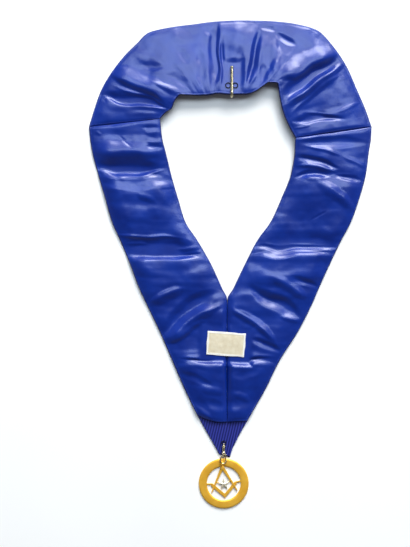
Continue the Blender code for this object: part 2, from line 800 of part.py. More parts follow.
def make_clip_hook(group, cutters, material):
    """The turned barrel, its hook, and the ears and pin that carry the lever."""
    place = along_y(CLIP_X, BARREL_TOP_Y, CLIP_Z)
    barrel = turned("clip_hook", with_ends(BARREL), group, place)
    barrel.data.materials.append(material)
    route = through([(x, y, CLIP_Z) for x, y in HOOK], HOOK_SPAN_POINTS)
    boolean(barrel, wire("hook wire", route, HOOK_WIRE, group), "UNION", cutters)

    pivot = Matrix.Translation((*LEVER_PIVOT, CLIP_Z))
    ear_outline = [
        (LEVER_EYE * math.cos(math.radians(a)), LEVER_EYE * math.sin(math.radians(a)))
        for a in range(180, 361, 30)
    ]
    ear_outline += [(LEVER_EYE, EAR_BACK), (-LEVER_EYE, EAR_BACK)]
    inner = LEVER_EYE_HALF + GAP
    outer = inner + EAR_THICK
    for name, low, high in (("upper ear", inner, outer), ("lower ear", -outer, -inner)):
        boolean(barrel, plate(name, ear_outline, low, high, group, pivot), "UNION", cutters)
    reach = inner + PIN_IN_EAR
    pin = rod("lever pin", PIN_RADIUS, -reach, reach, group, pivot, sides=8)
    boolean(barrel, pin, "UNION", cutters)

    bore = rod("swivel bore", BORE_RADIUS, -BORE_RADIUS, BARREL_TOP_Y - BORE_END_Y, group, place)
    boolean(barrel, bore, "DIFFERENCE", cutters)
    return barrel


def make_clip_lever(group, cutters, material):
    """The gate: an eye round the pin and a finger that reaches to the hook's nose."""
    pivot = Matrix.Translation((*LEVER_PIVOT, CLIP_Z))
    eye = rod("clip_lever", LEVER_EYE, -LEVER_EYE_HALF, LEVER_EYE_HALF, group, pivot, sides=14)
    eye.data.materials.append(material)
    start = Vector((*LEVER_PIVOT, CLIP_Z))
    end = Vector((*LEVER_TIP, CLIP_Z))
    finger = wire(
        "lever finger", [start.lerp(end, LEVER_ROOT), start.lerp(end, 0.6), end], LEVER_WIRE, group
    )
    bore = rod("lever bore", LEVER_BORE, -LEVER_EYE, LEVER_EYE, group, pivot)
    boolean(eye, finger, "UNION", cutters)
    boolean(eye, bore, "DIFFERENCE", cutters)
    return eye


# Jewel

def bar_outline(bar):
    """The outline of a tapered bar between its two ends."""
    start = Vector((bar.x0, bar.y0))
    end = Vector((bar.x1, bar.y1))
    run = end - start
    side = Vector((-run.y, run.x)).normalized()
    return [
        tuple(start + side * bar.half_start),
        tuple(start - side * bar.half_start),
        tuple(end - side * bar.half_end),
        tuple(end + side * bar.half_end),
    ]


def star_outline():
    points = []
    for k in range(10):
        radius = STAR_NOTCH if k % 2 else STAR_POINT
        turn = math.radians(90 + 36 * k)
        points.append((radius * math.cos(turn), radius * math.sin(turn) + STAR_Y))
    return points


def make_jewel(group, cutters, material):
    """A bevelled ring with a square, compasses and a star across it, and a loop standing on it."""
    place = Matrix.Translation((*JEWEL_CENTRE, 0.0)) @ Matrix.Rotation(JEWEL_TURN, 4, "Z")
    low_bevel = JEWEL_BEVEL / 2
    high_bevel = JEWEL_BEVEL * 2
    rows = [
        (0.0, JEWEL_INNER + low_bevel),
        (0.0, JEWEL_OUTER - low_bevel),
        (JEWEL_BEVEL, JEWEL_OUTER),
        (JEWEL_THICK - JEWEL_BEVEL, JEWEL_OUTER),
        (JEWEL_THICK, JEWEL_OUTER - high_bevel),
        (JEWEL_THICK, JEWEL_INNER + high_bevel),
        (JEWEL_THICK - JEWEL_BEVEL, JEWEL_INNER),
        (JEWEL_BEVEL, JEWEL_INNER),
    ]
    ring = turned("jewel", rows, group, place, JEWEL_SIDES, closed=True)
    ring.data.materials.append(material)
    parts = [
        plate(bar.name, bar_outline(bar), bar.low, bar.high, group, place) for bar in JEWEL_BARS
    ]
    parts.append(turned(
        "compass head", with_ends(HEAD), group,
        place @ Matrix.Translation((0.0, HEAD_Y, 0.0)), sides=12,
    ))
    parts.append(plate("star", star_outline(), STAR_LOW, STAR_HIGH, group, place))
    height = JEWEL_THICK - JEWEL_LOOP_SUNK + JEWEL_LOOP_MAJOR + JEWEL_LOOP_WIRE
    upright = (
        place @ Matrix.Translation((0.0, JEWEL_LOOP_Y, height))
        @ Matrix.Rotation(-JEWEL_TURN, 4, "Z") @ Matrix.Rotation(math.radians(90), 4, "Y")
    )
    parts.append(torus("standing loop", JEWEL_LOOP_MAJOR, JEWEL_LOOP_WIRE, group, upright))
    for part in parts:
        boolean(ring, part, "UNION", cutters)
    return ring


def main():
    clear_scene()
    parts = new_collection("order_collar")
    cutters = new_collection("cutters")
    ribbon = make_material("ribbed_ribbon", (0.020, 0.035, 0.230), 0.60)
    lining = make_material("leathercloth", (0.012, 0.035, 0.300), 0.28)
    label = make_material("label_cloth", (0.820, 0.780, 0.680), 0.80)
    gilt = make_material("pale_gilt", (0.620, 0.600, 0.400), 0.30, 1.0)
    black = make_material("black_wire", (0.010, 0.010, 0.012), 0.45, 0.5)
    gold = make_material("gilt_jewel", (0.830, 0.560, 0.160), 0.25, 1.0)

    make_ribbon("neck_ribbon", NECK, False, parts, ribbon)
    make_ribbon("left_ribbon", LEFT_ARM + LEFT_POINT, True, parts, ribbon)
    make_ribbon("right_ribbon", RIGHT_ARM + RIGHT_POINT, True, parts, ribbon)
    make_lining("neck_lining", NECK, False, parts, lining)
    make_lining("left_lining", LEFT_ARM, True, parts, lining)
    make_lining("right_lining", RIGHT_ARM, True, parts, lining)
    make_tip_ribbon(parts, ribbon)
    make_label(parts, label)

    make_neck_bar(parts, cutters, gilt)
    make_neck_eye(parts, cutters, black)
    make_tip_loop(parts, black)
    make_clip_eye(parts, cutters, gilt)
    make_clip_hook(parts, cutters, gilt)
    make_clip_lever(parts, cutters, gilt)
    make_jewel(parts, cutters, gold)


main()
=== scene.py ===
import math
from collections import namedtuple

import bmesh
import bpy
import numpy as np
from mathutils import Matrix, Vector


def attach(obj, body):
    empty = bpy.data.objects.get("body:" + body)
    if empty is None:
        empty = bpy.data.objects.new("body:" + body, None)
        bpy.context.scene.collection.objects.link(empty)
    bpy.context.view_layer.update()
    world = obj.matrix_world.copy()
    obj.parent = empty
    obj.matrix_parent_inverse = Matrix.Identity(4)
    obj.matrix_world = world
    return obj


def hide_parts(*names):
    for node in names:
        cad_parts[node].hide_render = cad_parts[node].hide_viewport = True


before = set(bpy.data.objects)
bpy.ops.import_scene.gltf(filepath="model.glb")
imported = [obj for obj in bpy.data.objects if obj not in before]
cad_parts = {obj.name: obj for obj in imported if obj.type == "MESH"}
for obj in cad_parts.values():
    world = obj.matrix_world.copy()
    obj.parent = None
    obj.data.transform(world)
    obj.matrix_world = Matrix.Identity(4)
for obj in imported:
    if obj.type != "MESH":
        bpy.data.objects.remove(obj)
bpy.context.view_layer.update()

# Camera: straight above the middle of the picture, whose height covers VIEW_HEIGHT on the floor
VIEW_CENTRE = (-0.0341, -0.0125)
VIEW_HEIGHT = 0.7412
LENS_MM = 80.0
SENSOR_MM = 36.0

# Layers of the collar, from the surface up
RIBBON_THICK = 0.0010
LINING_THICK = 0.0018
TIP_THICK = 0.0010
LABEL_THICK = 0.0010
GAP = 0.0003
LINING_FLOOR = RIBBON_THICK + GAP
TIP_FLOOR = RIBBON_THICK + GAP
TIP_TOP = TIP_FLOOR + TIP_THICK

# One row for each line across a panel, seam to seam: its outer end, its inner end, and how high the
# inner end stands off the surface
Section = namedtuple("Section", "outer_x outer_y inner_x inner_y lift")

NECK = [
    Section(-0.1913, 0.1860, -0.0944, 0.1961, 0.0080),
    Section(-0.1839, 0.2104, -0.0879, 0.2034, 0.0085),
    Section(-0.1751, 0.2348, -0.0786, 0.2100, 0.0105),
    Section(-0.1629, 0.2565, -0.0751, 0.2186, 0.0130),
    Section(-0.1439, 0.2816, -0.0664, 0.2274, 0.0135),
    Section(-0.1263, 0.2992, -0.0556, 0.2269, 0.0130),
    Section(-0.1105, 0.3137, -0.0449, 0.2265, 0.0125),
    Section(-0.0789, 0.3213, -0.0341, 0.2266, 0.0120),
    Section(-0.0477, 0.3253, -0.0248, 0.2277, 0.0120),
    Section(-0.0179, 0.3290, -0.0167, 0.2290, 0.0125),
    Section(0.0133, 0.3303, 0.0008, 0.2277, 0.0125),
    Section(0.0431, 0.3299, 0.0196, 0.2279, 0.0125),
    Section(0.0729, 0.3279, 0.0329, 0.2316, 0.0130),
    Section(0.0973, 0.3237, 0.0436, 0.2389, 0.0140),
    Section(0.1176, 0.3172, 0.0515, 0.2436, 0.0145),
    Section(0.1406, 0.2938, 0.0623, 0.2428, 0.0145),
    Section(0.1583, 0.2667, 0.0657, 0.2260, 0.0135),
    Section(0.1718, 0.2362, 0.0698, 0.2074, 0.0120),
    Section(0.1827, 0.2111, 0.0780, 0.1873, 0.0100),
    Section(0.1915, 0.1860, 0.0876, 0.1701, 0.0085),
]
LEFT_ARM = [
    Section(-0.1913, 0.1860, -0.0944, 0.1961, 0.0080),
    Section(-0.1900, 0.1711, -0.0920, 0.1713, 0.0070),
    Section(-0.1866, 0.1508, -0.0867, 0.1500, 0.0045),
    Section(-0.1791, 0.1224, -0.0800, 0.1220, 0.0015),
    Section(-0.1696, 0.0898, -0.0707, 0.0898, 0.0000),
    Section(-0.1602, 0.0573, -0.0606, 0.0573, 0.0000),
    Section(-0.1493, 0.0329, -0.0447, 0.0329, 0.0000),
    Section(-0.1358, 0.0004, -0.0260, 0.0004, 0.0000),
    Section(-0.1236, -0.0321, -0.0111, -0.0321, 0.0000),
    Section(-0.1154, -0.0497, -0.0040, -0.0497, 0.0000),
    Section(-0.0965, -0.0890, -0.0043, -0.0890, 0.0000),
    Section(-0.0789, -0.1297, -0.0046, -0.1297, 0.0000),
    Section(-0.0612, -0.1703, -0.0043, -0.1703, 0.0000),
    Section(-0.0457, -0.2022, -0.0042, -0.2130, 0.0000),
]
RIGHT_ARM = [
    Section(0.1915, 0.1860, 0.0876, 0.1701, 0.0085),
    Section(0.1908, 0.1711, 0.0869, 0.1631, 0.0080),
    Section(0.1881, 0.1535, 0.0867, 0.1512, 0.0065),
    Section(0.1840, 0.1224, 0.0820, 0.1219, 0.0025),
    Section(0.1752, 0.0898, 0.0695, 0.0898, 0.0000),
    Section(0.1637, 0.0573, 0.0546, 0.0573, 0.0000),
    Section(0.1508, 0.0329, 0.0370, 0.0329, 0.0000),
    Section(0.1352, 0.0004, 0.0201, 0.0004, 0.0000),
    Section(0.1203, -0.0321, 0.0045, -0.0321, 0.0000),
    Section(0.1129, -0.0497, -0.0040, -0.0497, 0.0000),
    Section(0.0932, -0.0890, -0.0043, -0.0890, 0.0000),
    Section(0.0675, -0.1297, -0.0046, -0.1297, 0.0000),
    Section(0.0472, -0.1703, -0.0043, -0.1703, 0.0000),
    Section(0.0234, -0.2117, -0.0042, -0.2130, 0.0000),
]
# The ribbons run on below the lining to the tip
LEFT_POINT = [
    Section(-0.0301, -0.2300, -0.0050, -0.2320, 0.0000),
    Section(-0.0179, -0.2516, -0.0065, -0.2520, 0.0000),
    Section(-0.0154, -0.2570, -0.0073, -0.2595, 0.0000),
]
RIGHT_POINT = [
    Section(0.0122, -0.2315, -0.0050, -0.2320, 0.0000),
    Section(0.0024, -0.2516, -0.0065, -0.2520, 0.0000),
    Section(-0.0005, -0.2615, -0.0073, -0.2595, 0.0000),
]
# The ribbed piece at the tip, from its hidden upper edge down: left edge, right edge
TIP = [
    Section(-0.0468, -0.1975, 0.0258, -0.2065, 0.0000),
    Section(-0.0437, -0.2040, 0.0226, -0.2120, 0.0000),
    Section(-0.0294, -0.2300, 0.0115, -0.2315, 0.0000),
    Section(-0.0173, -0.2512, 0.0018, -0.2512, 0.0000),
    Section(-0.0148, -0.2565, -0.0012, -0.2605, 0.0000),
]

# One row for each fold of the lining: where its line starts and ends, its height (negative for a
# valley), how far it spreads to the left and right, how far its line bows to its left, and how
# sharp its crest is (2 is soft, 1 a crease)
Fold = namedtuple("Fold", "x0 y0 x1 y1 height left right bow sharp")

FOLDS = [
    # Broad swells of the arms, between the creases
    Fold(-0.2050, 0.1500, -0.0750, 0.1490, 0.0029, 0.0300, 0.0180, 0.0000, 2.0),
    Fold(-0.1950, 0.1020, -0.0650, 0.1060, 0.0052, 0.0160, 0.0800, -0.0030, 2.0),
    Fold(-0.1600, -0.0240, -0.0150, -0.0100, 0.0044, 0.0280, 0.0450, 0.0000, 2.0),
    Fold(0.0750, 0.1060, 0.1950, 0.0980, 0.0047, 0.0200, 0.0760, 0.0050, 2.0),
    Fold(0.0050, -0.0130, 0.1480, -0.0100, 0.0044, 0.0260, 0.0400, 0.0000, 2.0),
    Fold(-0.0900, -0.1380, 0.0800, -0.1390, 0.0039, 0.0120, 0.0550, 0.0000, 2.0),
    # Neck, left half
    Fold(-0.1710, 0.2633, -0.0789, 0.2186, 0.0042, 0.0240, 0.0090, 0.0010, 2.0),
    Fold(-0.1629, 0.2430, -0.0789, 0.2125, 0.0014, 0.0040, 0.0050, 0.0000, 1.4),
    Fold(-0.1800, 0.2300, -0.0775, 0.2110, -0.0062, 0.0120, 0.0060, 0.0000, 1.7),
    Fold(-0.0900, 0.2590, -0.0480, 0.2310, -0.0010, 0.0100, 0.0070, 0.0010, 1.8),
    Fold(-0.1087, 0.2470, -0.0545, 0.2267, 0.0012, 0.0060, 0.0060, 0.0000, 1.8),
    Fold(-0.0159, 0.3337, -0.0213, 0.2294, -0.0044, 0.0080, 0.0120, 0.0000, 1.9),
    Fold(-0.0131, 0.3175, -0.0138, 0.2280, 0.0021, 0.0040, 0.0040, 0.0000, 1.6),
    Fold(-0.0091, 0.3093, -0.0087, 0.2267, -0.0021, 0.0050, 0.0035, 0.0000, 1.5),
    Fold(-0.0416, 0.3283, -0.0430, 0.3080, -0.0004, 0.0033, 0.0033, 0.0000, 1.6),
    Fold(-0.0369, 0.3243, -0.0220, 0.3053, -0.0008, 0.0065, 0.0065, 0.0000, 1.8),
    Fold(-0.1190, 0.2690, -0.0880, 0.2670, -0.0008, 0.0070, 0.0060, 0.0000, 2.0),
    Fold(-0.0789, 0.3039, -0.0572, 0.2944, -0.0004, 0.0078, 0.0078, 0.0000, 2.0),
    Fold(-0.0667, 0.2944, -0.0558, 0.2660, -0.0007, 0.0069, 0.0069, 0.0000, 2.0),
    Fold(-0.1778, 0.2294, -0.1656, 0.2172, -0.0008, 0.0046, 0.0046, 0.0000, 1.5),
    Fold(-0.1371, 0.2999, -0.1236, 0.2877, -0.0006, 0.0052, 0.0052, 0.0000, 1.6),
    Fold(-0.1561, 0.2687, -0.1385, 0.2633, 0.0004, 0.0052, 0.0052, 0.0000, 1.8),
    Fold(-0.0409, 0.2985, -0.0369, 0.2335, -0.0012, 0.0080, 0.0080, 0.0000, 2.0),
    # Neck, right half
    Fold(0.0146, 0.2958, 0.0119, 0.2335, -0.0013, 0.0090, 0.0060, 0.0000, 2.0),
    Fold(0.0377, 0.3202, 0.0634, 0.3148, -0.0010, 0.0057, 0.0057, 0.0000, 1.8),
    Fold(0.0580, 0.3134, 0.0919, 0.2944, -0.0017, 0.0069, 0.0069, 0.0000, 1.6),
    Fold(0.0404, 0.3202, 0.0201, 0.2321, -0.0034, 0.0090, 0.0070, 0.0020, 1.8),
    Fold(0.0431, 0.3012, 0.0336, 0.2606, 0.0010, 0.0057, 0.0057, 0.0000, 1.8),
    Fold(0.0350, 0.2687, 0.0255, 0.2335, 0.0008, 0.0046, 0.0046, 0.0000, 1.6),
    Fold(0.0431, 0.2714, 0.0431, 0.2416, -0.0011, 0.0069, 0.0069, 0.0000, 1.9),
    Fold(0.0607, 0.3066, 0.0580, 0.2470, 0.0016, 0.0090, 0.0090, 0.0000, 2.0),
    Fold(0.1515, 0.2904, 0.0593, 0.2470, 0.0036, 0.0110, 0.0220, 0.0020, 2.0),
    Fold(0.1583, 0.2836, 0.0621, 0.2104, -0.0057, 0.0120, 0.0160, -0.0040, 1.6),
    Fold(0.1623, 0.2768, 0.0661, 0.2050, 0.0039, 0.0100, 0.0080, 0.0000, 1.8),
    Fold(0.1650, 0.2687, 0.0729, 0.1969, 0.0012, 0.0050, 0.0050, 0.0000, 1.5),
    Fold(0.1461, 0.2497, 0.1610, 0.2551, 0.0006, 0.0065, 0.0065, 0.0000, 1.8),
    Fold(0.1406, 0.2050, 0.1786, 0.2213, 0.0009, 0.0046, 0.0046, 0.0000, 1.6),
    Fold(0.0986, 0.2064, 0.1528, 0.2003, 0.0010, 0.0030, 0.0030, 0.0000, 1.5),
    Fold(0.0756, 0.1948, 0.1556, 0.1982, -0.0042, 0.0100, 0.0060, 0.0010, 1.5),
    Fold(0.0783, 0.1840, 0.1108, 0.1908, 0.0005, 0.0029, 0.0029, 0.0000, 1.4),
    # Left arm
    Fold(-0.1222, 0.1867, -0.0911, 0.1827, -0.0011, 0.0034, 0.0046, 0.0000, 1.5),
    Fold(-0.1127, 0.1738, -0.0883, 0.1718, -0.0007, 0.0039, 0.0052, 0.0000, 1.5),
    Fold(-0.1154, 0.1610, -0.0870, 0.1596, -0.0012, 0.0046, 0.0057, 0.0000, 1.6),
    Fold(-0.1182, 0.1793, -0.0897, 0.1772, 0.0007, 0.0034, 0.0034, 0.0000, 1.6),
    Fold(-0.1154, 0.1671, -0.0883, 0.1657, 0.0007, 0.0034, 0.0034, 0.0000, 1.6),
    Fold(-0.1832, 0.1820, -0.1751, 0.1752, 0.0006, 0.0039, 0.0039, 0.0000, 1.5),
    Fold(-0.1493, 0.1779, -0.1276, 0.1522, -0.0005, 0.0029, 0.0029, 0.0000, 1.4),
    Fold(-0.1981, 0.1535, -0.0843, 0.1522, 0.0029, 0.0180, 0.0120, 0.0000, 1.8),
    Fold(-0.1954, 0.1318, -0.0816, 0.1305, -0.0044, 0.0160, 0.0080, -0.0020, 1.8),
    Fold(-0.1818, 0.1169, -0.0843, 0.1183, 0.0029, 0.0080, 0.0140, 0.0000, 1.8),
    Fold(-0.1547, 0.1251, -0.1425, 0.1129, 0.0004, 0.0052, 0.0052, 0.0000, 1.6),
    Fold(-0.1398, 0.1190, -0.0789, 0.1305, 0.0012, 0.0040, 0.0040, 0.0000, 1.6),
    Fold(-0.0978, 0.1009, -0.0721, 0.1012, -0.0005, 0.0039, 0.0039, 0.0000, 1.5),
    Fold(-0.1304, 0.1000, -0.0978, 0.0804, 0.0008, 0.0069, 0.0069, 0.0000, 1.8),
    Fold(-0.1683, 0.0438, -0.0531, 0.0356, 0.0014, 0.0050, 0.0050, 0.0000, 1.4),
    Fold(-0.1656, 0.0201, -0.0341, 0.0167, -0.0055, 0.0340, 0.0100, -0.0040, 2.0),
    Fold(-0.1439, 0.0289, -0.1046, 0.0275, 0.0008, 0.0046, 0.0046, 0.0000, 1.6),
    Fold(-0.0762, 0.0201, -0.0369, 0.0241, 0.0008, 0.0046, 0.0046, 0.0000, 1.6),
    Fold(-0.1602, 0.0045, -0.0247, 0.0099, 0.0034, 0.0090, 0.0200, -0.0030, 1.8),
    Fold(-0.1344, 0.0092, -0.0829, 0.0255, -0.0010, 0.0030, 0.0040, 0.0000, 1.5),
    Fold(-0.1033, 0.0051, -0.0328, 0.0173, -0.0010, 0.0030, 0.0040, 0.0000, 1.5),
    Fold(-0.1114, -0.0511, -0.0572, -0.0321, 0.0026, 0.0090, 0.0120, 0.0010, 1.8),
    Fold(-0.1033, -0.1026, -0.0138, -0.0335, -0.0047, 0.0140, 0.0150, 0.0050, 1.7),
    Fold(-0.1033, -0.1093, -0.0084, -0.0511, 0.0036, 0.0130, 0.0130, 0.0030, 1.8),
    Fold(-0.0463, -0.0673, -0.0057, -0.0518, 0.0009, 0.0057, 0.0057, 0.0000, 1.7),
    Fold(-0.0951, -0.1080, -0.0274, -0.0728, 0.0013, 0.0060, 0.0060, 0.0000, 1.7),
    # Right arm
    Fold(0.0837, 0.1650, 0.1921, 0.1630, -0.0016, 0.0090, 0.0090, 0.0000, 2.0),
    Fold(0.1000, 0.1583, 0.1542, 0.1488, 0.0012, 0.0040, 0.0040, 0.0000, 1.6),
    Fold(0.1515, 0.1495, 0.1881, 0.1264, 0.0008, 0.0046, 0.0046, 0.0000, 1.6),
    Fold(0.0864, 0.1454, 0.1515, 0.1305, -0.0029, 0.0060, 0.0070, 0.0000, 1.6),
    Fold(0.0837, 0.1346, 0.1488, 0.1251, 0.0016, 0.0050, 0.0050, 0.0000, 1.7),
    Fold(0.0810, 0.1183, 0.1406, 0.1203, -0.0026, 0.0070, 0.0060, 0.0000, 1.6),
    Fold(0.1393, 0.1210, 0.1840, 0.1115, -0.0018, 0.0050, 0.0050, 0.0000, 1.6),
    Fold(0.1000, 0.1142, 0.1298, 0.1142, 0.0010, 0.0057, 0.0057, 0.0000, 1.8),
    Fold(0.1108, 0.1156, 0.1718, 0.0709, 0.0025, 0.0090, 0.0110, 0.0040, 1.8),
    Fold(0.1041, 0.0580, 0.1312, 0.0749, -0.0005, 0.0029, 0.0029, 0.0000, 1.4),
    Fold(0.0146, 0.0248, 0.1610, 0.0241, -0.0055, 0.0320, 0.0070, 0.0000, 1.9),
    Fold(0.0350, 0.0275, 0.1461, 0.0248, 0.0013, 0.0040, 0.0030, 0.0000, 1.5),
    Fold(0.0322, 0.0187, 0.1461, 0.0160, -0.0010, 0.0025, 0.0025, 0.0000, 1.4),
    Fold(0.0173, 0.0099, 0.1501, 0.0112, 0.0034, 0.0080, 0.0200, 0.0000, 1.8),
    Fold(0.0770, -0.0152, 0.1217, -0.0335, -0.0018, 0.0060, 0.0060, 0.0000, 1.8),
    Fold(0.0539, -0.0131, 0.1041, -0.0497, 0.0023, 0.0090, 0.0100, 0.0020, 1.8),
    Fold(0.0228, -0.0294, 0.0986, -0.0768, -0.0052, 0.0130, 0.0130, 0.0030, 1.6),
    Fold(-0.0003, -0.0531, 0.0634, -0.1093, 0.0031, 0.0090, 0.0090, 0.0020, 1.7),
    Fold(0.0024, -0.0511, 0.0607, -0.1039, -0.0007, 0.0020, 0.0020, 0.0015, 1.4),
    Fold(0.0661, -0.0707, 0.0973, -0.0802, 0.0010, 0.0057, 0.0057, 0.0000, 1.7),
    Fold(0.0228, -0.0999, 0.0715, -0.1188, -0.0020, 0.0060, 0.0070, 0.0000, 1.7),
    # Below the label
    Fold(-0.0816, -0.1236, 0.0702, -0.1236, 0.0021, 0.0090, 0.0040, -0.0010, 1.6),
    Fold(-0.0762, -0.1270, 0.0675, -0.1276, -0.0012, 0.0025, 0.0025, -0.0006, 1.4),
    Fold(-0.0734, -0.1304, 0.0648, -0.1331, 0.0020, 0.0040, 0.0120, -0.0012, 1.6),
    Fold(-0.0734, -0.1459, -0.0220, -0.1622, -0.0010, 0.0060, 0.0060, 0.0000, 2.0),
    Fold(-0.0436, -0.1635, -0.0057, -0.1757, 0.0008, 0.0080, 0.0080, 0.0000, 2.0),
    Fold(0.0024, -0.1514, 0.0431, -0.1459, -0.0007, 0.0080, 0.0080, 0.0000, 2.0),
    Fold(-0.0328, -0.1812, -0.0057, -0.1974, -0.0008, 0.0069, 0.0069, 0.0000, 2.0),
    Fold(0.0024, -0.1730, 0.0268, -0.1866, 0.0008, 0.0069, 0.0069, 0.0000, 2.0),
    Fold(-0.0477, -0.1906, -0.0206, -0.2069, 0.0008, 0.0057, 0.0057, 0.0000, 1.8),
]

# Flat places in the lining, under the pieces sewn on it
Flat = namedtuple("Flat", "x y half_x half_y turn rise")
LABEL_CENTRE = (-0.0058, -0.1077)
LABEL_SIZE = (0.0520, 0.0320)
LABEL_TURN = math.radians(-4.2)
LABEL_RISE = 0.0034
BAR_X = 0.0020
BAR_TOP_Y = 0.2613
BAR_LOW_Y = 0.2293
BAR_RISE = 0.0016
FLATS = [
    Flat(*LABEL_CENTRE, 0.031, 0.021, LABEL_TURN, LABEL_RISE),
    Flat(BAR_X, 0.244, 0.0095, 0.026, 0.0, BAR_RISE),
]

# Plan and padding of the lining
V_POINT_Y = -0.0497
V_BLEND = 0.003
EDGE_INSET = 0.0008
SEAM_HALF_GAP = 0.00012
LIFT_POWER = 1.6
PAD_RISE = 0.0035
PAD_EDGE = 0.024
CENTRE_EDGE = 0.009
SEAM_EDGE = 0.008
SEAM_RISE = 0.002
FOLD_AT_EDGE = 0.4
FOLD_END = 0.35
FOLD_NARROW = 0.45
FLAT_FADE = 0.009
FLAT_AT_EDGE = 0.3
RELIEF_SOFT = 0.0008
TIP_STEP_START = 0.003
TIP_STEP_RUN = 0.016
LOWER_EDGE_BOW = 0.0040
LOWER_EDGE_REACH = 0.030
# Only the lower edge left of this line bows
LOWER_EDGE_MOST_X = -0.006
# Where the padding narrows from the free edge's width to the centre seam's, by the V
V_PAD_START = 0.015
V_PAD_RUN = 0.030

# Fine shape of the lining: soft dents, pulls across the panel, and the stitched groove
FOLD_WANDER = 0.02
WANDER_CELL = 0.9
WANDER_SEED = 5
WARP = 0.0030
WARP_CELL = 0.030
DENTS = [(0.034, 0.0012), (0.015, 0.00042), (0.007, 0.00011)]
DENT_AT_EDGE = 0.25
PULL_AT_EDGE = 0.35
# Pulls run across a panel: cell along it, cell across it, depth
PULLS = [(0.016, 0.060, 0.0008), (0.007, 0.034, 0.00028)]
STITCH_IN = 0.0021
GROOVE_DEEP = 0.00035
GROOVE_HALF = 0.0006
PUCKER_DEEP = 0.00022
PUCKER_CELL = 0.0048
PUCKER_REACH = 0.0060
PUCKER_FAR = 0.1
PUCKER_SEED = 7

# Cells of the meshes: distances from an edge, where it is rounded, and the cell inside
RIM = (0.0, 0.00008, 0.00025, 0.0005, 0.0009, 0.0014)
RIBBON_RIM = (0.0, 0.00012, 0.0005)
LINING_CELL = 0.00125
NOISE_CELLS = 97
NOISE_SHIFT = 40.0
PANEL_STEPS = 2001
WIDTH_STEPS = 50

# Ribbon
RIB_PITCH = 0.0017
RIB_DEEP = 0.00022
TIP_RIB_PITCH = 0.0035
TIP_RIB_DEEP = 0.00034
TIP_CORDS = 3
TIP_RIB_LEAN = math.radians(13)

# Thread
STITCH_LENGTH = 0.0022
STITCH_GAP = 0.0007
THREAD = 0.00022
LABEL_THREAD = THREAD * 0.8
STITCH_END_ABOVE_V = 0.002
EDGE_LINE_STEPS = 700
SEAM_LINE_STEPS = 160

# Label: the folded border and the thread just inside its edge
LABEL_BORDER = 0.0026
LABEL_FLOOR = LINING_FLOOR + LINING_THICK + LABEL_RISE + 0.0002
LABEL_FOLD_STEP = 0.00018
LABEL_PUFF = 0.0003
LABEL_RIPPLE = 0.00012
LABEL_WAVE = 0.0004
LABEL_STITCH_IN = 0.0012
LABEL_STITCH = 0.0017
LABEL_STITCH_DENT = 0.00012
LABEL_STITCH_GAP = 0.0006
LABEL_DENT_HALF = 0.00035
LABEL_WAVE_CELL = 0.009
LABEL_RIPPLE_CELL = 0.007
LABEL_PUFF_REACH = 0.009
LABEL_EDGE_REACH = 0.003
LABEL_BORDER_STEP = 0.0006
LABEL_SEED = 51
LABEL_LINE_STEPS = 120
LABEL_COLUMNS = 130
LABEL_ROWS = 80

# Ribbon and tip meshes
RIB_CELLS = 4
RIBBON_COLUMNS = 16
TIP_ROWS = 90
TIP_COLUMNS = 240
TIP_CORD_DEEP = 0.00006
TIP_RIB_WANDER = 0.0004
# A wave texture of this scale has one band each metre
WAVE_SCALE = 0.314
TIP_SCALLOP = 0.0006
TIP_SCALLOP_REACH = 0.004
TIP_WANDER_CELL = 0.02
TIP_SEED = 41
TIP_RIB_POWER = 1.5

# A stitch: share of its length, share of the thread's radius, rise in radii
STITCH_PROFILE = [(-0.04, 0.45, -0.9), (0.10, 0.95, 0.0), (0.5, 1.0, 0.45), (0.90, 0.95, 0.0),
                  (1.04, 0.45, -0.9)]
STITCH_SIDES = 6
SEAM_STITCH_IN = 0.0016

# Neck bar: its corners' reach, its whole turns of twist, the ball on top and the bent foot
BAR_CORNER = 0.0019
BAR_TURNS = 5
BAR_STEPS = 30
BAR_SIDES = 28
BAR_POWER = 1.25
BAR_BEVEL = 0.00022
# Above the twist: distance along the bar and radius, through the collar to the ball
BAR_TOP_ROWS = [(0.00015, 0.0016), (0.0003, 0.00195), (0.0006, 0.0021), (0.0009, 0.00195),
                (0.00105, 0.0015), (0.0012, 0.00135), (0.0015, 0.0017), (0.0020, 0.00205),
                (0.0026, 0.0022), (0.0032, 0.0021), (0.0038, 0.0017), (0.0042, 0.0011),
                (0.00435, 0.0005)]
FOOT_START = 0.80
BAR_ROUND = 0.6
BAR_PLAIN_END = 0.07
FOOT_RADIUS = 0.0050
FOOT_BEND = math.radians(75)
FOOT_STEPS = 8

# Search for the bar's place along the neck: the shares to look between, and the halvings
NECK_SEARCH = (0.3, 0.7)
HALVINGS = 40

# Neck eye: two rings and the wire between them, under the bar
EYE_WIRE = 0.00055
EYE_LINK_WIRE = 0.00045
EYE_RING = 0.0034
EYE_Y = 0.2399
EYE_LEFT_X = -0.0030
EYE_RIGHT_X = 0.0065

# Clip: its long axis runs along Y over the tip
CLIP_X = -0.0088
CLIP_Z = 0.0051
KNOB_Y = -0.2456
KNOB_RADIUS = 0.0025
KNOB_HALF = 0.0013
KNOB_FLATTEN = 0.7
KNOB_END_TURN = 0.06
KNOB_ROWS = 22
RING_MAJOR = 0.0020
RING_WIRE = 0.0005
RING_Y = -0.2436
STUD_RADIUS = 0.0009
STUD_END_Y = -0.2502
BORE_RADIUS = 0.0012
BORE_END_Y = -0.2507
BARREL_TOP_Y = -0.2472
# Barrel, from its mouth down: distance from the mouth, radius
BARREL = [
    (0.0000, 0.0017),
    (0.0003, 0.0020),
    (0.0012, 0.0020),
    (0.0018, 0.0016),
    (0.0060, 0.0018),
    (0.0066, 0.00225),
    (0.0082, 0.0023),
    (0.0092, 0.0018),
    (0.0100, 0.0010),
]
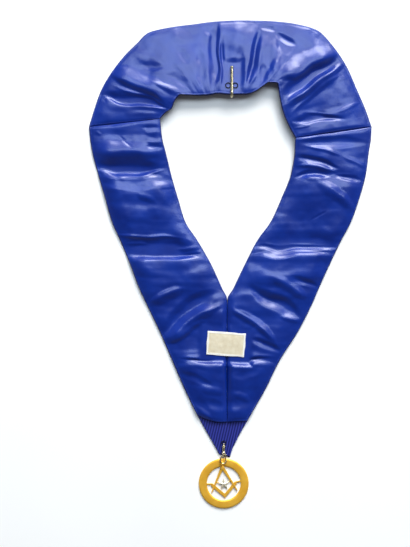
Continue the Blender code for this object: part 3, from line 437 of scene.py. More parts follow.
# Hook wire, from inside the barrel round to the nose that the lever closes on
HOOK_WIRE = 0.00095
HOOK = [
    (CLIP_X, -0.2560),
    (-0.0098, -0.2583),
    (-0.0122, -0.2605),
    (-0.0135, -0.2635),
    (-0.0130, -0.2667),
    (-0.0109, -0.2690),
    (-0.0082, -0.2690),
    (-0.0062, -0.2673),
    (-0.0056, -0.2655),
]
LEVER_PIVOT = (-0.0070, -0.2590)
LEVER_TIP = (-0.0056, -0.2643)
LEVER_WIRE = 0.00075
LEVER_ROOT = 0.22
LEVER_REACH = 0.88
LEVER_STEPS = 8
LEVER_EYE = 0.0013
LEVER_EYE_HALF = 0.0006
LEVER_BORE = 0.00075
PIN_RADIUS = 0.00045
EAR_THICK = 0.0006
EAR_BACK = 0.0024
EAR_BEVEL = 0.00012
PIN_PAST_EAR = 0.0002
PIN_END = 0.0001
HOOK_STEPS = 10
# Where a turned shape closes on its own axis
AXIS_RADIUS = 0.0002
BARREL_END = 0.0003

# Black loop at the tip, leaning from the ribbon up to the clip's ring
LOOP_MAJOR = 0.0026
LOOP_WIRE = 0.0005
LOOP_TILT = math.radians(30)
LOOP_Y = -0.2412

# Jewel
JEWEL_CENTRE = (-0.0087, -0.2966)
JEWEL_TURN = math.radians(5)
JEWEL_OUTER = 0.0337
JEWEL_INNER = 0.0230
JEWEL_THICK = 0.0024
JEWEL_BEVEL = 0.0007
JEWEL_SIDES = 180
JEWEL_LOOP_Y = 0.0281
JEWEL_LOOP_MAJOR = 0.0032
JEWEL_LOOP_WIRE = 0.00065
JEWEL_LOOP_SUNK = 0.0008
# One row for each flat bar across the jewel, in its own frame: its two ends, its half width at
# each, and the heights of its two faces
Bar = namedtuple("Bar", "name x0 y0 x1 y1 half_start half_end low high")
JEWEL_BARS = [
    Bar("left leg", -0.0016, 0.0192, -0.0172, -0.0108, 0.0019, 0.0007, 0.00040, 0.00200),
    Bar("right leg", 0.0016, 0.0192, 0.0172, -0.0108, 0.0019, 0.0007, 0.00060, 0.00220),
    Bar("left arm", 0.0014, -0.0182, -0.0162, -0.0006, 0.0020, 0.0020, 0.00025, 0.00160),
    Bar("right arm", -0.0014, -0.0182, 0.0162, -0.0006, 0.0020, 0.0020, 0.00035, 0.00180),
    Bar("left tab", -0.0150, 0.0002, -0.0236, 0.0010, 0.0009, 0.0009, 0.00043, 0.00148),
    Bar("right tab", 0.0150, 0.0002, 0.0236, 0.0010, 0.0009, 0.0009, 0.00047, 0.00152),
    Bar("star strut", -0.0108, 0.00155, 0.0108, 0.00155, 0.00045, 0.00045, 0.00066, 0.00130),
]
# Head of the compasses, a turned knob: height and radius
HEAD = [(0.00035, 0.0002), (0.00035, 0.0030), (0.0022, 0.0030), (0.0027, 0.0022), (0.0029, 0.0002)]
HEAD_Y = 0.0206
STAR_CORNERS = 10
STAR_POINT = 0.0079
STAR_NOTCH = 0.0032
STAR_Y = -0.0008
STAR_LOW = 0.00058
STAR_SIDE = 0.00190
STAR_HIGH = 0.00330

# Studio
FLOOR_HALF = 12.0
FLOOR_BELOW = 0.0002
VIEW_GAMMA = 0.82
# Grey of the surroundings, from the horizon up
WORLD_STOPS = [(0.0, 0.95), (0.22, 0.34), (0.75, 0.10)]
# One row for each light: its name, place, size, power and colour
LIGHTS = [
    ("key", (0.9, 4.1, 2.6), (3.0, 2.2), 330.0, (1.0, 0.98, 0.95)),
    ("sheen", (0.2, 1.20, 2.6), (3.0, 0.9), 52.0, (0.80, 0.91, 1.0)),
]


# Materials

def new_material(name):
    material = bpy.data.materials.new(name)
    material.use_nodes = True
    return material, material.node_tree.nodes, material.node_tree.links


def node(nodes, kind, **values):
    made = nodes.new(kind)
    for name, value in values.items():
        made.inputs[name.replace("_", " ")].default_value = value
    return made


def coordinates(nodes):
    return nodes.new("ShaderNodeTexCoord").outputs["Object"]


def noise_value(nodes, links, scale, detail=2.0, roughness=0.5):
    texture = node(nodes, "ShaderNodeTexNoise", Scale=scale, Detail=detail, Roughness=roughness)
    links.new(coordinates(nodes), texture.inputs["Vector"])
    return texture.outputs["Fac"]


def ramp(nodes, links, source, stops):
    """A colour ramp: stops are (place, colour) pairs, a colour being 3 numbers or one grey."""
    made = nodes.new("ShaderNodeValToRGB")
    elements = made.color_ramp.elements
    while len(elements) < len(stops):
        elements.new(0.5)
    for element, (place, colour) in zip(elements, stops):
        element.position = place
        rgb = colour if isinstance(colour, tuple) else (colour,) * 3
        element.color = (*rgb, 1.0)
    links.new(source, made.inputs["Fac"])
    return made.outputs["Color"]


def bump(nodes, links, source, distance, before=None):
    made = node(nodes, "ShaderNodeBump", Strength=1.0, Distance=distance)
    links.new(source, made.inputs["Height"])
    if before is not None:
        links.new(before, made.inputs["Normal"])
    return made.outputs["Normal"]


def leathercloth():
    """Glossy coated cloth: deep blue with a thin clear coat and a fine pressed grain."""
    material, nodes, links = new_material("leathercloth")
    shader = nodes["Principled BSDF"]
    tone = noise_value(nodes, links, 34.0, 3.0)
    links.new(
        ramp(nodes, links, tone, [(0.32, (0.0026, 0.0300, 0.255)), (0.70, (0.0046, 0.0430, 0.320))]),
        shader.inputs["Base Color"],
    )
    wear = noise_value(nodes, links, 120.0, 4.0)
    links.new(ramp(nodes, links, wear, [(0.30, 0.34), (0.72, 0.42)]), shader.inputs["Roughness"])
    shader.inputs["Specular IOR Level"].default_value = 0.50
    shader.inputs["Coat Weight"].default_value = 0.60
    shader.inputs["Coat Roughness"].default_value = 0.24
    shader.inputs["Coat IOR"].default_value = 1.45
    grain = noise_value(nodes, links, 1500.0, 2.0)
    ripple = noise_value(nodes, links, 260.0, 3.0)
    first = bump(nodes, links, grain, 0.000025)
    links.new(bump(nodes, links, ripple, 0.00006, first), shader.inputs["Normal"])
    return material


def painted_rib_sheen(nodes, links):
    """Painted sheen and painted shade: light and dark bands in step with the leaning ribs of the
    tip, standing in for the light the ribs catch and the shade between them.
    """
    turned_place = node(nodes, "ShaderNodeMapping")
    turned_place.inputs["Rotation"].default_value = (0.0, 0.0, TIP_RIB_LEAN)
    links.new(coordinates(nodes), turned_place.inputs["Vector"])
    wave = node(nodes, "ShaderNodeTexWave", Scale=WAVE_SCALE / TIP_RIB_PITCH, Distortion=0.8)
    wave.bands_direction = "X"
    links.new(turned_place.outputs["Vector"], wave.inputs["Vector"])
    return wave.outputs["Fac"]


def ribbed_cloth(name, dark, light, painted_sheen_bands=False):
    """Corded silk ribbon: dull, with a soft sheen and fine threads along the cords. Banded, its
    colour is painted sheen and painted shade in light and dark bands along the ribs.
    """
    material, nodes, links = new_material(name)
    shader = nodes["Principled BSDF"]
    # Banded, the colour is painted sheen on the ribs and painted shade between them; otherwise it is
    # a random tone
    tone = painted_rib_sheen(nodes, links) if painted_sheen_bands else noise_value(nodes, links, 420.0, 4.0, 0.7)
    links.new(ramp(nodes, links, tone, [(0.30, dark), (0.72, light)]), shader.inputs["Base Color"])
    shader.inputs["Roughness"].default_value = 0.56
    shader.inputs["Specular IOR Level"].default_value = 0.35
    shader.inputs["Sheen Weight"].default_value = 0.30
    shader.inputs["Sheen Roughness"].default_value = 0.40
    shader.inputs["Sheen Tint"].default_value = (0.30, 0.32, 0.80, 1.0)
    threads = noise_value(nodes, links, 2600.0, 2.0)
    links.new(bump(nodes, links, threads, 0.00005), shader.inputs["Normal"])
    return material


def label_cloth():
    """Woven cream cloth with a whiter folded border."""
    material, nodes, links = new_material("label_cloth")
    shader = nodes["Principled BSDF"]
    split = nodes.new("ShaderNodeSeparateXYZ")
    links.new(coordinates(nodes), split.inputs["Vector"])
    far = None
    for axis, half in zip("XY", LABEL_SIZE):
        size = nodes.new("ShaderNodeMath")
        size.operation = "ABSOLUTE"
        links.new(split.outputs[axis], size.inputs[0])
        past = nodes.new("ShaderNodeMath")
        past.operation = "SUBTRACT"
        links.new(size.outputs[0], past.inputs[0])
        past.inputs[1].default_value = half / 2 - LABEL_BORDER
        if far is None:
            far = past.outputs[0]
        else:
            most = nodes.new("ShaderNodeMath")
            most.operation = "MAXIMUM"
            links.new(far, most.inputs[0])
            links.new(past.outputs[0], most.inputs[1])
            far = most.outputs[0]
    step = nodes.new("ShaderNodeMapRange")
    step.inputs["From Min"].default_value = -0.0003
    step.inputs["From Max"].default_value = 0.0003
    links.new(far, step.inputs["Value"])
    tone = noise_value(nodes, links, 160.0, 4.0, 0.6)
    cream = ramp(nodes, links, tone, [(0.30, (0.70, 0.62, 0.46)), (0.72, (0.80, 0.74, 0.60))])
    mix = nodes.new("ShaderNodeMix")
    mix.data_type = "RGBA"
    links.new(step.outputs["Result"], mix.inputs["Factor"])
    links.new(cream, mix.inputs[6])
    mix.inputs[7].default_value = (0.88, 0.86, 0.82, 1.0)
    links.new(mix.outputs[2], shader.inputs["Base Color"])
    shader.inputs["Roughness"].default_value = 0.62
    shader.inputs["Specular IOR Level"].default_value = 0.35
    shader.inputs["Sheen Weight"].default_value = 0.15
    weave = None
    for direction in ("X", "Y"):
        wave = node(nodes, "ShaderNodeTexWave", Scale=700.0, Distortion=0.6)
        wave.bands_direction = direction
        links.new(coordinates(nodes), wave.inputs["Vector"])
        weave = bump(nodes, links, wave.outputs["Fac"], 0.00006, weave)
    links.new(weave, shader.inputs["Normal"])
    return material


def metal(name, dark, light, roughness, tone_scale=90.0, metallic=1.0):
    """Metal whose colour and polish vary a little from place to place; satin where part metallic."""
    material, nodes, links = new_material(name)
    shader = nodes["Principled BSDF"]
    tone = noise_value(nodes, links, tone_scale, 4.0, 0.6)
    links.new(ramp(nodes, links, tone, [(0.32, dark), (0.68, light)]), shader.inputs["Base Color"])
    shader.inputs["Metallic"].default_value = metallic
    polish = noise_value(nodes, links, tone_scale * 3.0, 3.0)
    low, high = roughness
    links.new(ramp(nodes, links, polish, [(0.3, low), (0.7, high)]), shader.inputs["Roughness"])
    marks = noise_value(nodes, links, 1800.0, 3.0)
    links.new(bump(nodes, links, marks, 0.00001), shader.inputs["Normal"])
    return material


def thread(name, dark, light):
    """Twisted sewing thread."""
    material, nodes, links = new_material(name)
    shader = nodes["Principled BSDF"]
    tone = noise_value(nodes, links, 900.0, 2.0)
    links.new(ramp(nodes, links, tone, [(0.3, dark), (0.7, light)]), shader.inputs["Base Color"])
    shader.inputs["Roughness"].default_value = 0.5
    strands = noise_value(nodes, links, 5200.0, 1.0)
    links.new(bump(nodes, links, strands, 0.00004), shader.inputs["Normal"])
    return material


# Curves, noise and meshes

def smooth_step(value):
    value = np.clip(value, 0.0, 1.0)
    return value * value * (3.0 - 2.0 * value)


def noise(x, y, cell, seed, turned=True):
    """Smooth random values from -1 to 1 over the plane, in cells of this size."""
    random = np.random.default_rng(seed)
    grid = random.uniform(-1.0, 1.0, (NOISE_CELLS, NOISE_CELLS))
    turn = random.uniform(0.0, math.pi) if turned else 0.0
    u = (x * math.cos(turn) + y * math.sin(turn)) / cell + NOISE_SHIFT
    v = (y * math.cos(turn) - x * math.sin(turn)) / cell + NOISE_SHIFT
    i = np.floor(u).astype(int)
    j = np.floor(v).astype(int)
    s = u - i
    t = v - j
    s = s ** 3 * (s * (s * 6 - 15) + 10)
    t = t ** 3 * (t * (t * 6 - 15) + 10)

    def corner(di, dj):
        return grid[(i + di) % NOISE_CELLS, (j + dj) % NOISE_CELLS]

    low = corner(0, 0) * (1 - s) + corner(1, 0) * s
    high = corner(0, 1) * (1 - s) + corner(1, 1) * s
    return low * (1 - t) + high * t


class Panel:
    """A cloth panel between an outer and an inner edge, measured along its middle."""

    def __init__(self, sections):
        self.values = np.array(sections)
        steps = np.diff(self.values, axis=0)
        before, after = steps[:-1], steps[1:]
        total = np.where(before + after == 0.0, 1.0, before + after)
        inner = np.where(before * after > 0.0, 2.0 * before * after / total, 0.0)
        self.slopes = np.vstack([steps[:1], inner, steps[-1:]])
        self.shares = np.linspace(0.0, 1.0, PANEL_STEPS)
        rows = self.rows_at(self.shares)
        middle = (rows[:, 0:2] + rows[:, 2:4]) / 2
        runs = np.linalg.norm(np.diff(middle, axis=0), axis=1)
        self.lengths = np.concatenate([[0.0], np.cumsum(runs)])
        self.length = self.lengths[-1]

    def rows_at(self, share):
        place = np.clip(share, 0.0, 1.0) * (len(self.values) - 1)
        i = np.minimum(place.astype(int), len(self.values) - 2)
        t = (place - i)[..., None]
        return (
            (1 + 2 * t) * (1 - t) ** 2 * self.values[i] + t * (1 - t) ** 2 * self.slopes[i]
            + t * t * (3 - 2 * t) * self.values[i + 1] + t * t * (t - 1) * self.slopes[i + 1]
        )

    def rows(self, along):
        """The sections at these distances along the panel."""
        return self.rows_at(np.interp(along, self.lengths, self.shares))

    def widths(self, along):
        row = self.rows(along)
        return np.hypot(row[..., 2] - row[..., 0], row[..., 3] - row[..., 1])

    def places(self, along, inward):
        """x, y and lift at distances along the panel and inward from its outer edge."""
        row = self.rows(along)
        width = np.hypot(row[..., 2] - row[..., 0], row[..., 3] - row[..., 1])
        share = inward / width
        x = row[..., 0] + (row[..., 2] - row[..., 0]) * share
        y = row[..., 1] + (row[..., 3] - row[..., 1]) * share
        return x, y, row[..., 4] * np.clip(share, 0.0, 1.0) ** LIFT_POWER, width


def spaced(total, count, low, high, rim):
    """Distances from one edge to the other: close together at both, count cells between."""
    total = np.asarray(total)[..., None]
    high = np.asarray(high)[..., None]
    steps = np.array(rim)
    start = low + steps[:-1]
    inner = low + steps[-1] + (total - low - high - 2 * steps[-1]) * np.linspace(0, 1, count + 1)
    end = total - high - steps[:-1][::-1]
    start = np.broadcast_to(start, (*inner.shape[:-1], len(start)))
    end = np.broadcast_to(end, (*inner.shape[:-1], end.shape[-1]))
    return np.concatenate([start, inner, end], axis=-1)


def quads(index):
    return np.stack(
        [index[:-1, :-1], index[:-1, 1:], index[1:, 1:], index[1:, :-1]], axis=-1
    ).reshape(-1, 4)


def linked(name, data):
    """A new object of the scene for a mesh, a light or a camera."""
    item = bpy.data.objects.new(name, data)
    bpy.context.scene.collection.objects.link(item)
    return item


def on_collar(item):
    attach(item, "collar")
    return item


def closed_sheet(name, top, bottom, material):
    """A piece of cloth between two grids of points that share their border."""
    rows, columns = top.shape[:2]
    upper = np.arange(rows * columns).reshape(rows, columns)
    lower = upper.copy()
    inside = np.arange((rows - 2) * (columns - 2)).reshape(rows - 2, columns - 2)
    lower[1:-1, 1:-1] = rows * columns + inside
    points = np.concatenate([top.reshape(-1, 3), bottom[1:-1, 1:-1].reshape(-1, 3)])
    across = top[rows // 2, columns // 2 + 1] - top[rows // 2, columns // 2]
    along = top[rows // 2 + 1, columns // 2] - top[rows // 2, columns // 2]
    faces_up = np.cross(across, along)[2] > 0.0
    faces = np.concatenate([quads(upper), quads(lower)[:, ::-1]])
    if not faces_up:
        faces = faces[:, ::-1]
    mesh = bpy.data.meshes.new(name)
    mesh.from_pydata(points.tolist(), [], faces.tolist())
    mesh.update()
    mesh.shade_smooth()
    mesh.materials.append(material)
    return on_collar(linked(name, mesh))


# Height of the lining

def fold_heights(x, y, folds):
    total = np.zeros_like(x)
    for fold in folds:
        run_x = fold.x1 - fold.x0
        run_y = fold.y1 - fold.y0
        length = math.hypot(run_x, run_y)
        share = ((x - fold.x0) * run_x + (y - fold.y0) * run_y) / length ** 2
        off = ((y - fold.y0) * run_x - (x - fold.x0) * run_y) / length
        off = off - fold.bow * 4.0 * share * (1.0 - share)
        off = off + FOLD_WANDER * length * noise(share * 2.0, share * 0.0 + fold.x0, WANDER_CELL,
                                                WANDER_SEED)
        part = np.abs(off) / np.where(off > 0.0, fold.left, fold.right)
        ends = smooth_step(np.minimum(share, 1.0 - share) / FOLD_END)
        part = part / (FOLD_NARROW + (1.0 - FOLD_NARROW) * ends)
        body = np.clip(1.0 - np.clip(part, 0.0, 1.0) ** fold.sharp, 0.0, 1.0) ** 2
        total += fold.height * body * ends
    return total


def rolled(edge, half):
    """Rises from 0 at an edge to 1 at half the thickness from it, as a quarter circle does."""
    return np.sqrt(1.0 - (1.0 - np.clip(edge / half, 0.0, 1.0)) ** 2)


def rounded(distance, reach):
    """Rises from 0 at an edge to 1 at reach from it, as a padded edge does."""
    return 1.0 - (1.0 - np.clip(distance / reach, 0.0, 1.0)) ** 2


def flat_share(flat, x, y):
    dx = x - flat.x
    dy = y - flat.y
    along = np.abs(dx * math.cos(flat.turn) + dy * math.sin(flat.turn)) - flat.half_x
    across = np.abs(dy * math.cos(flat.turn) - dx * math.sin(flat.turn)) - flat.half_y
    return 1.0 - smooth_step(np.maximum(np.maximum(along, across), 0.0) / FLAT_FADE)


def over_tip(x, y):
    """How far the lining steps up over the hidden upper edge of the tip's ribbed piece."""
    top = TIP[0]
    share = (x - top.outer_x) / (top.inner_x - top.outer_x)
    edge_y = top.outer_y + share * (top.inner_y - top.outer_y)
    past = (y - edge_y - TIP_STEP_START) / TIP_STEP_RUN
    return (TIP_THICK + GAP) * (1.0 - smooth_step(past))


class Lining:
    """The lining on one panel: a point's place and height, anywhere on it."""

    def __init__(self, sections, reaches_tip, seed):
        self.panel = Panel(sections)
        self.reaches_tip = reaches_tip
        self.seed = seed
        self.start = SEAM_HALF_GAP
        self.end = self.panel.length - (0.0 if reaches_tip else SEAM_HALF_GAP)

    def below_v(self, y):
        """1 where the inner side is the seam below the V, 0 where it is a free edge."""
        if not self.reaches_tip:
            return np.zeros_like(y)
        return smooth_step((V_POINT_Y - y) / V_BLEND)

    def inner_inset(self, along):
        """How far the lining stays inside the panel's inner edge."""
        seam = self.below_v(self.panel.rows(along)[..., 3])
        return EDGE_INSET + (SEAM_HALF_GAP - EDGE_INSET) * seam

    def edge_distances(self, along, inward, width, y):
        """Distances to the nearest free edge and to the nearest seam."""
        seam_side = self.below_v(y)
        inner = width - self.inner_inset(along) - inward
        free = np.minimum(inward - EDGE_INSET, inner + seam_side)
        seam = np.minimum(along - self.start, inner + 1.0 - seam_side)
        if self.reaches_tip:
            free = np.minimum(free, self.end - along)
        else:
            seam = np.minimum(seam, self.end - along)
        return free, seam

    def surfaces(self, along, inward):
        """x, y, the height of the upper side and that of the lower side."""
        x, y, lift, width = self.panel.places(along, inward)
        inner = width - inward
        pad_inner = PAD_EDGE
        if self.reaches_tip:
            below = smooth_step((V_POINT_Y + V_PAD_START - y) / V_PAD_RUN)
            pad_inner = PAD_EDGE + (CENTRE_EDGE - PAD_EDGE) * below
        edges = rounded(inward, PAD_EDGE) * rounded(inner, pad_inner)
        edges *= rounded(along + SEAM_RISE, SEAM_EDGE)
        edges *= rounded(self.panel.length - along + SEAM_RISE, SEAM_EDGE)

        wx = x + WARP * noise(x, y, WARP_CELL, 1)
        wy = y + WARP * noise(x, y, WARP_CELL, 2)
        height = PAD_RISE * edges + fold_heights(wx, wy, FOLDS) * (
            FOLD_AT_EDGE + (1.0 - FOLD_AT_EDGE) * edges
        )
        for i, (cell, deep) in enumerate(DENTS):
            height += deep * noise(x, y, cell, self.seed + i) * (
                DENT_AT_EDGE + (1.0 - DENT_AT_EDGE) * edges
            )
        for i, (cell, reach, deep) in enumerate(PULLS):
            pull = noise(along / cell, inward / reach, 1.0, self.seed + len(DENTS) + i, turned=False)
            height += deep * pull * (PULL_AT_EDGE + (1.0 - PULL_AT_EDGE) * edges)
        for flat in FLATS:
            share = flat_share(flat, x, y)
            height += (flat.rise * np.minimum(1.0, FLAT_AT_EDGE + edges) - height) * share
        height = (height + np.hypot(height, RELIEF_SOFT)) / 2

        free, seam = self.edge_distances(along, inward, width, y)
        close = np.minimum(free, PUCKER_FAR)
        pucker = noise(along, close, PUCKER_CELL, self.seed + PUCKER_SEED)
        stitched = PUCKER_DEEP * (pucker * np.exp(-close / PUCKER_REACH))
        stitched -= GROOVE_DEEP * np.exp(-((free - STITCH_IN) / GROOVE_HALF) ** 2)

        base = lift + LINING_FLOOR + height
        if self.reaches_tip:
            base = base + over_tip(x, y)
            ends = smooth_step(1.0 - (self.panel.length - along) / LOWER_EDGE_REACH)
            share = inward / width
            y = y - LOWER_EDGE_BOW * 4.0 * share * (1.0 - share) * ends * (x < LOWER_EDGE_MOST_X)
        edge = np.minimum(free, seam)
        half = LINING_THICK / 2
        round_off = rolled(edge, half)
        full = smooth_step(edge / half)
        top = base + half + half * round_off + stitched * full
        bottom = base + half - half * round_off
        return x, y, top, bottom


# Cloth pieces

def lining_piece(name, lining, material):
    """The folded lining on one panel, as a closed cloth with rolled edges."""
    panel = lining.panel
    rows = round((lining.end - lining.start) / LINING_CELL)
    columns = round(panel.widths(np.linspace(0.0, panel.length, WIDTH_STEPS)).mean() / LINING_CELL)
    along = spaced(lining.end - lining.start, rows, 0.0, 0.0, RIM) + lining.start
    along = np.repeat(along[:, None], columns + 2 * len(RIM) - 1, axis=1)
    width = panel.widths(along[:, 0])
    inward = spaced(width, columns, EDGE_INSET, lining.inner_inset(along[:, 0]), RIM)
    x, y, top, bottom = lining.surfaces(along, inward)
    top = np.stack([x, y, top], -1)
    bottom = np.stack([x, y, bottom], -1)
    return closed_sheet(name, top, bottom, material)


def ribbon_piece(name, sections, start_gap, end_gap, inner_gap, material):
    """Corded ribbon under one panel: cords run across it, and its underside is plain."""
    panel = Panel(sections)
    rows = round(panel.length / RIB_PITCH * RIB_CELLS)
    along = spaced(panel.length - start_gap - end_gap, rows, 0.0, 0.0, RIBBON_RIM) + start_gap
    along = np.repeat(along[:, None], RIBBON_COLUMNS + 2 * len(RIBBON_RIM) - 1, axis=1)
    width = panel.widths(along[:, 0])
    inward = spaced(width, RIBBON_COLUMNS, 0.0, inner_gap, RIBBON_RIM)
    x, y, lift, width = panel.places(along, inward)
    cord = np.abs(np.sin(math.pi * along / RIB_PITCH))
    edge = np.minimum(np.minimum(inward, width - inner_gap - inward), along - start_gap)
    edge = np.minimum(edge, panel.length - end_gap - along)
    half = RIBBON_THICK / 2
    round_off = half * rolled(edge, half)
    cords = RIB_DEEP * (1.0 - cord) * smooth_step(edge / RIBBON_THICK)
    top = np.stack([x, y, lift + half + round_off - cords], -1)
    bottom = np.stack([x, y, lift + half - round_off], -1)
    return closed_sheet(name, top, bottom, material)


def tip_piece(material):
    """The ribbed piece over the point: leaning ribs, each of a few cords, with scalloped sides."""
    panel = Panel(TIP)
    along = np.linspace(0.0, panel.length, TIP_ROWS + 1)
    along = np.repeat(along[:, None], TIP_COLUMNS + 2 * len(RIBBON_RIM) - 1, axis=1)
    width = panel.widths(along[:, 0])
    inward = spaced(width, TIP_COLUMNS, 0.0, 0.0, RIBBON_RIM)
    x, y, _, width = panel.places(along, inward)
    across = x * math.cos(TIP_RIB_LEAN) - y * math.sin(TIP_RIB_LEAN)
    across = across + TIP_RIB_WANDER * noise(x, y, TIP_WANDER_CELL, TIP_SEED)
    rib = np.abs(np.sin(math.pi * across / TIP_RIB_PITCH))
    cord = np.abs(np.sin(math.pi * across / TIP_RIB_PITCH * TIP_CORDS))
    side = np.minimum(inward, width - inward)
    edge = np.minimum(side, np.minimum(along, panel.length - along))
    half = TIP_THICK / 2
    round_off = half * rolled(edge, half)
    sunk = TIP_RIB_DEEP * (1.0 - rib) ** TIP_RIB_POWER + TIP_CORD_DEEP * (1.0 - cord)
    sunk = sunk * smooth_step(edge / TIP_THICK)
    scallop = TIP_SCALLOP * rib * (1.0 - smooth_step(side / TIP_SCALLOP_REACH))
    x = x + scallop * np.where(inward < width / 2, -1.0, 1.0)
    top = np.stack([x, y, TIP_FLOOR + half + round_off - sunk], -1)
    bottom = np.stack([x, y, TIP_FLOOR + half - round_off], -1)
    return closed_sheet("tip_ribbing_painted_sheen", top, bottom, material)


def label_outline_place(u, v):
    """A label place from shares -1 to 1: its sides wave a little."""
    x = u * LABEL_SIZE[0] / 2
    y = v * LABEL_SIZE[1] / 2
    wave_x = LABEL_WAVE * noise(y, x * 0.0, LABEL_WAVE_CELL, LABEL_SEED) * u
    wave_y = LABEL_WAVE * noise(x, y * 0.0, LABEL_WAVE_CELL, LABEL_SEED + 1) * v
    return x + wave_x, y + wave_y


def label_piece(material):
    """The sewn label: a soft field inside a slightly thicker folded border."""
    steps_x = spaced(LABEL_SIZE[0], LABEL_COLUMNS, 0.0, 0.0, RIBBON_RIM) / LABEL_SIZE[0] * 2 - 1
    steps_y = spaced(LABEL_SIZE[1], LABEL_ROWS, 0.0, 0.0, RIBBON_RIM) / LABEL_SIZE[1] * 2 - 1
    v, u = np.meshgrid(steps_y, steps_x, indexing="ij")
    x, y = label_outline_place(u, v)
    in_x = (1.0 - np.abs(u)) * LABEL_SIZE[0] / 2
    in_y = (1.0 - np.abs(v)) * LABEL_SIZE[1] / 2
    edge = np.minimum(in_x, in_y)
    half = LABEL_THICK / 2
    round_off = half * rolled(edge, half)
    field = smooth_step((edge - LABEL_BORDER) / LABEL_BORDER_STEP)
    ripple = LABEL_RIPPLE * noise(x, y, LABEL_RIPPLE_CELL, LABEL_SEED + 2)
    puff = LABEL_PUFF * smooth_step(edge / LABEL_PUFF_REACH) + ripple
    puff = puff * smooth_step(edge / LABEL_EDGE_REACH) - LABEL_FOLD_STEP * field
    stitched = LABEL_STITCH_DENT * np.exp(-((edge - LABEL_STITCH_IN) / LABEL_DENT_HALF) ** 2)
    base = LABEL_FLOOR + np.maximum(puff, -LABEL_FOLD_STEP)
    top = np.stack([x, y, base + half + round_off - stitched], -1)
    bottom = np.stack([x, y, LABEL_FLOOR + half - round_off], -1)
    item = closed_sheet("sewn_label", top, bottom, material)
    item.location = (*LABEL_CENTRE, 0.0)
    item.rotation_euler = (0.0, 0.0, LABEL_TURN)
    return item


# Thread

def stitch_shell(start, end, radius):
    """One stitch of thread from start to end, its ends sunk into the cloth."""
    run = end - start
    direction = run / np.linalg.norm(run)
    side = np.cross(direction, (0.0, 0.0, 1.0))
    side /= np.linalg.norm(side)
    up = np.cross(side, direction)
    rings = []
    for place, thick, rise in STITCH_PROFILE:
        centre = start + run * place + up * radius * rise
        for_turns = [
            centre + radius * thick * (side * math.cos(turn) + up * math.sin(turn))
            for turn in np.linspace(0.0, math.tau, STITCH_SIDES, endpoint=False)
        ]
        rings.append(for_turns)
    return skin(rings)


def stitched_line(line, pitch, length, radius):
    """Stitches along a line of points, as shells."""
    runs = np.linalg.norm(np.diff(line, axis=0), axis=1)
    far = np.concatenate([[0.0], np.cumsum(runs)])
    count = int(far[-1] / pitch)
    first = (far[-1] - count * pitch) / 2
    shells = []
    for i in range(count):
        low = first + i * pitch + (pitch - length) / 2
        ends = [
            np.array([np.interp(place, far, line[:, axis]) for axis in range(3)])
            for place in (low, low + length)
        ]
        shells.append(stitch_shell(ends[0], ends[1], radius))
    return shells


def on_lining(lining, along, inward):
    """Places on the upper side of a lining, as a line of points."""
    x, y, top, _ = lining.surfaces(along, inward)
    return np.stack([x, y, top], -1)


def edge_stitches(name, lining, material):
    """The stitches along a lining's free edges and beside its shoulder seams."""
    panel = lining.panel
    low = lining.start + SEAM_STITCH_IN
    high = lining.end - (STITCH_IN if lining.reaches_tip else SEAM_STITCH_IN)
    along = np.linspace(low, high, EDGE_LINE_STEPS)
    width = panel.widths(along)
    lines = [on_lining(lining, along, np.full_like(along, EDGE_INSET + STITCH_IN))]
    inner = width - EDGE_INSET - STITCH_IN
    line = on_lining(lining, along, inner)
    if lining.reaches_tip:
        line = line[line[:, 1] > V_POINT_Y + STITCH_END_ABOVE_V]
    lines.append(line)
    for place in (low, high):
        width = panel.widths(np.array([place]))[0]
        across = np.linspace(
            EDGE_INSET + STITCH_IN, width - EDGE_INSET - STITCH_IN, SEAM_LINE_STEPS
        )
        lines.append(on_lining(lining, np.full_like(across, place), across))
    pitch = STITCH_LENGTH + STITCH_GAP
    shells = [
        shell for line in lines for shell in stitched_line(line, pitch, STITCH_LENGTH, THREAD)
    ]
    return on_collar(solid(name, shells, material))


def label_stitches(material):
    """The thread round the label, just inside its edge."""
    corners = [(-1, -1), (1, -1), (1, 1), (-1, 1), (-1, -1)]
    in_x = 1.0 - LABEL_STITCH_IN * 2 / LABEL_SIZE[0]
    in_y = 1.0 - LABEL_STITCH_IN * 2 / LABEL_SIZE[1]
    shells = []
    for start, end in zip(corners, corners[1:]):
        share = np.linspace(0.0, 1.0, LABEL_LINE_STEPS)
        u = (start[0] + (end[0] - start[0]) * share) * in_x
        v = (start[1] + (end[1] - start[1]) * share) * in_y
        x, y = label_outline_place(u, v)
        height = np.full_like(x, LABEL_FLOOR + LABEL_THICK - LABEL_STITCH_DENT)
        line = np.stack([x, y, height], -1)
        pitch = LABEL_STITCH + LABEL_STITCH_GAP
        shells += stitched_line(line, pitch, LABEL_STITCH, LABEL_THREAD)
    item = on_collar(solid("label_stitching", shells, material))
    item.location = (*LABEL_CENTRE, 0.0)
    item.rotation_euler = (0.0, 0.0, LABEL_TURN)
    return item


# Shells of metal

UP = (0.0, 0.0, 1.0)
CORNER_SHARE = 0.45
NOSE_STEPS = 5
NOSE_DEGREES = 15.5


def skin(rings, closed=False):
    """Points and faces of a surface through rings of points, with capped ends unless closed."""
    rings = np.asarray(rings, dtype=float)
    count, sides = rings.shape[:2]
    index = np.arange(count * sides).reshape(count, sides)
    around = np.concatenate([index, index[:, :1]], axis=1)
    if closed:
        around = np.concatenate([around, around[:1]])
    faces = quads(around).tolist()
    if not closed:
        faces.append(index[0].tolist())
        faces.append(index[-1][::-1].tolist())
    return rings.reshape(-1, 3), faces


def placed(shell, matrix):
    points, faces = shell
    turn = np.array(matrix.to_3x3())
    return points @ turn.T + np.array(matrix.translation), faces


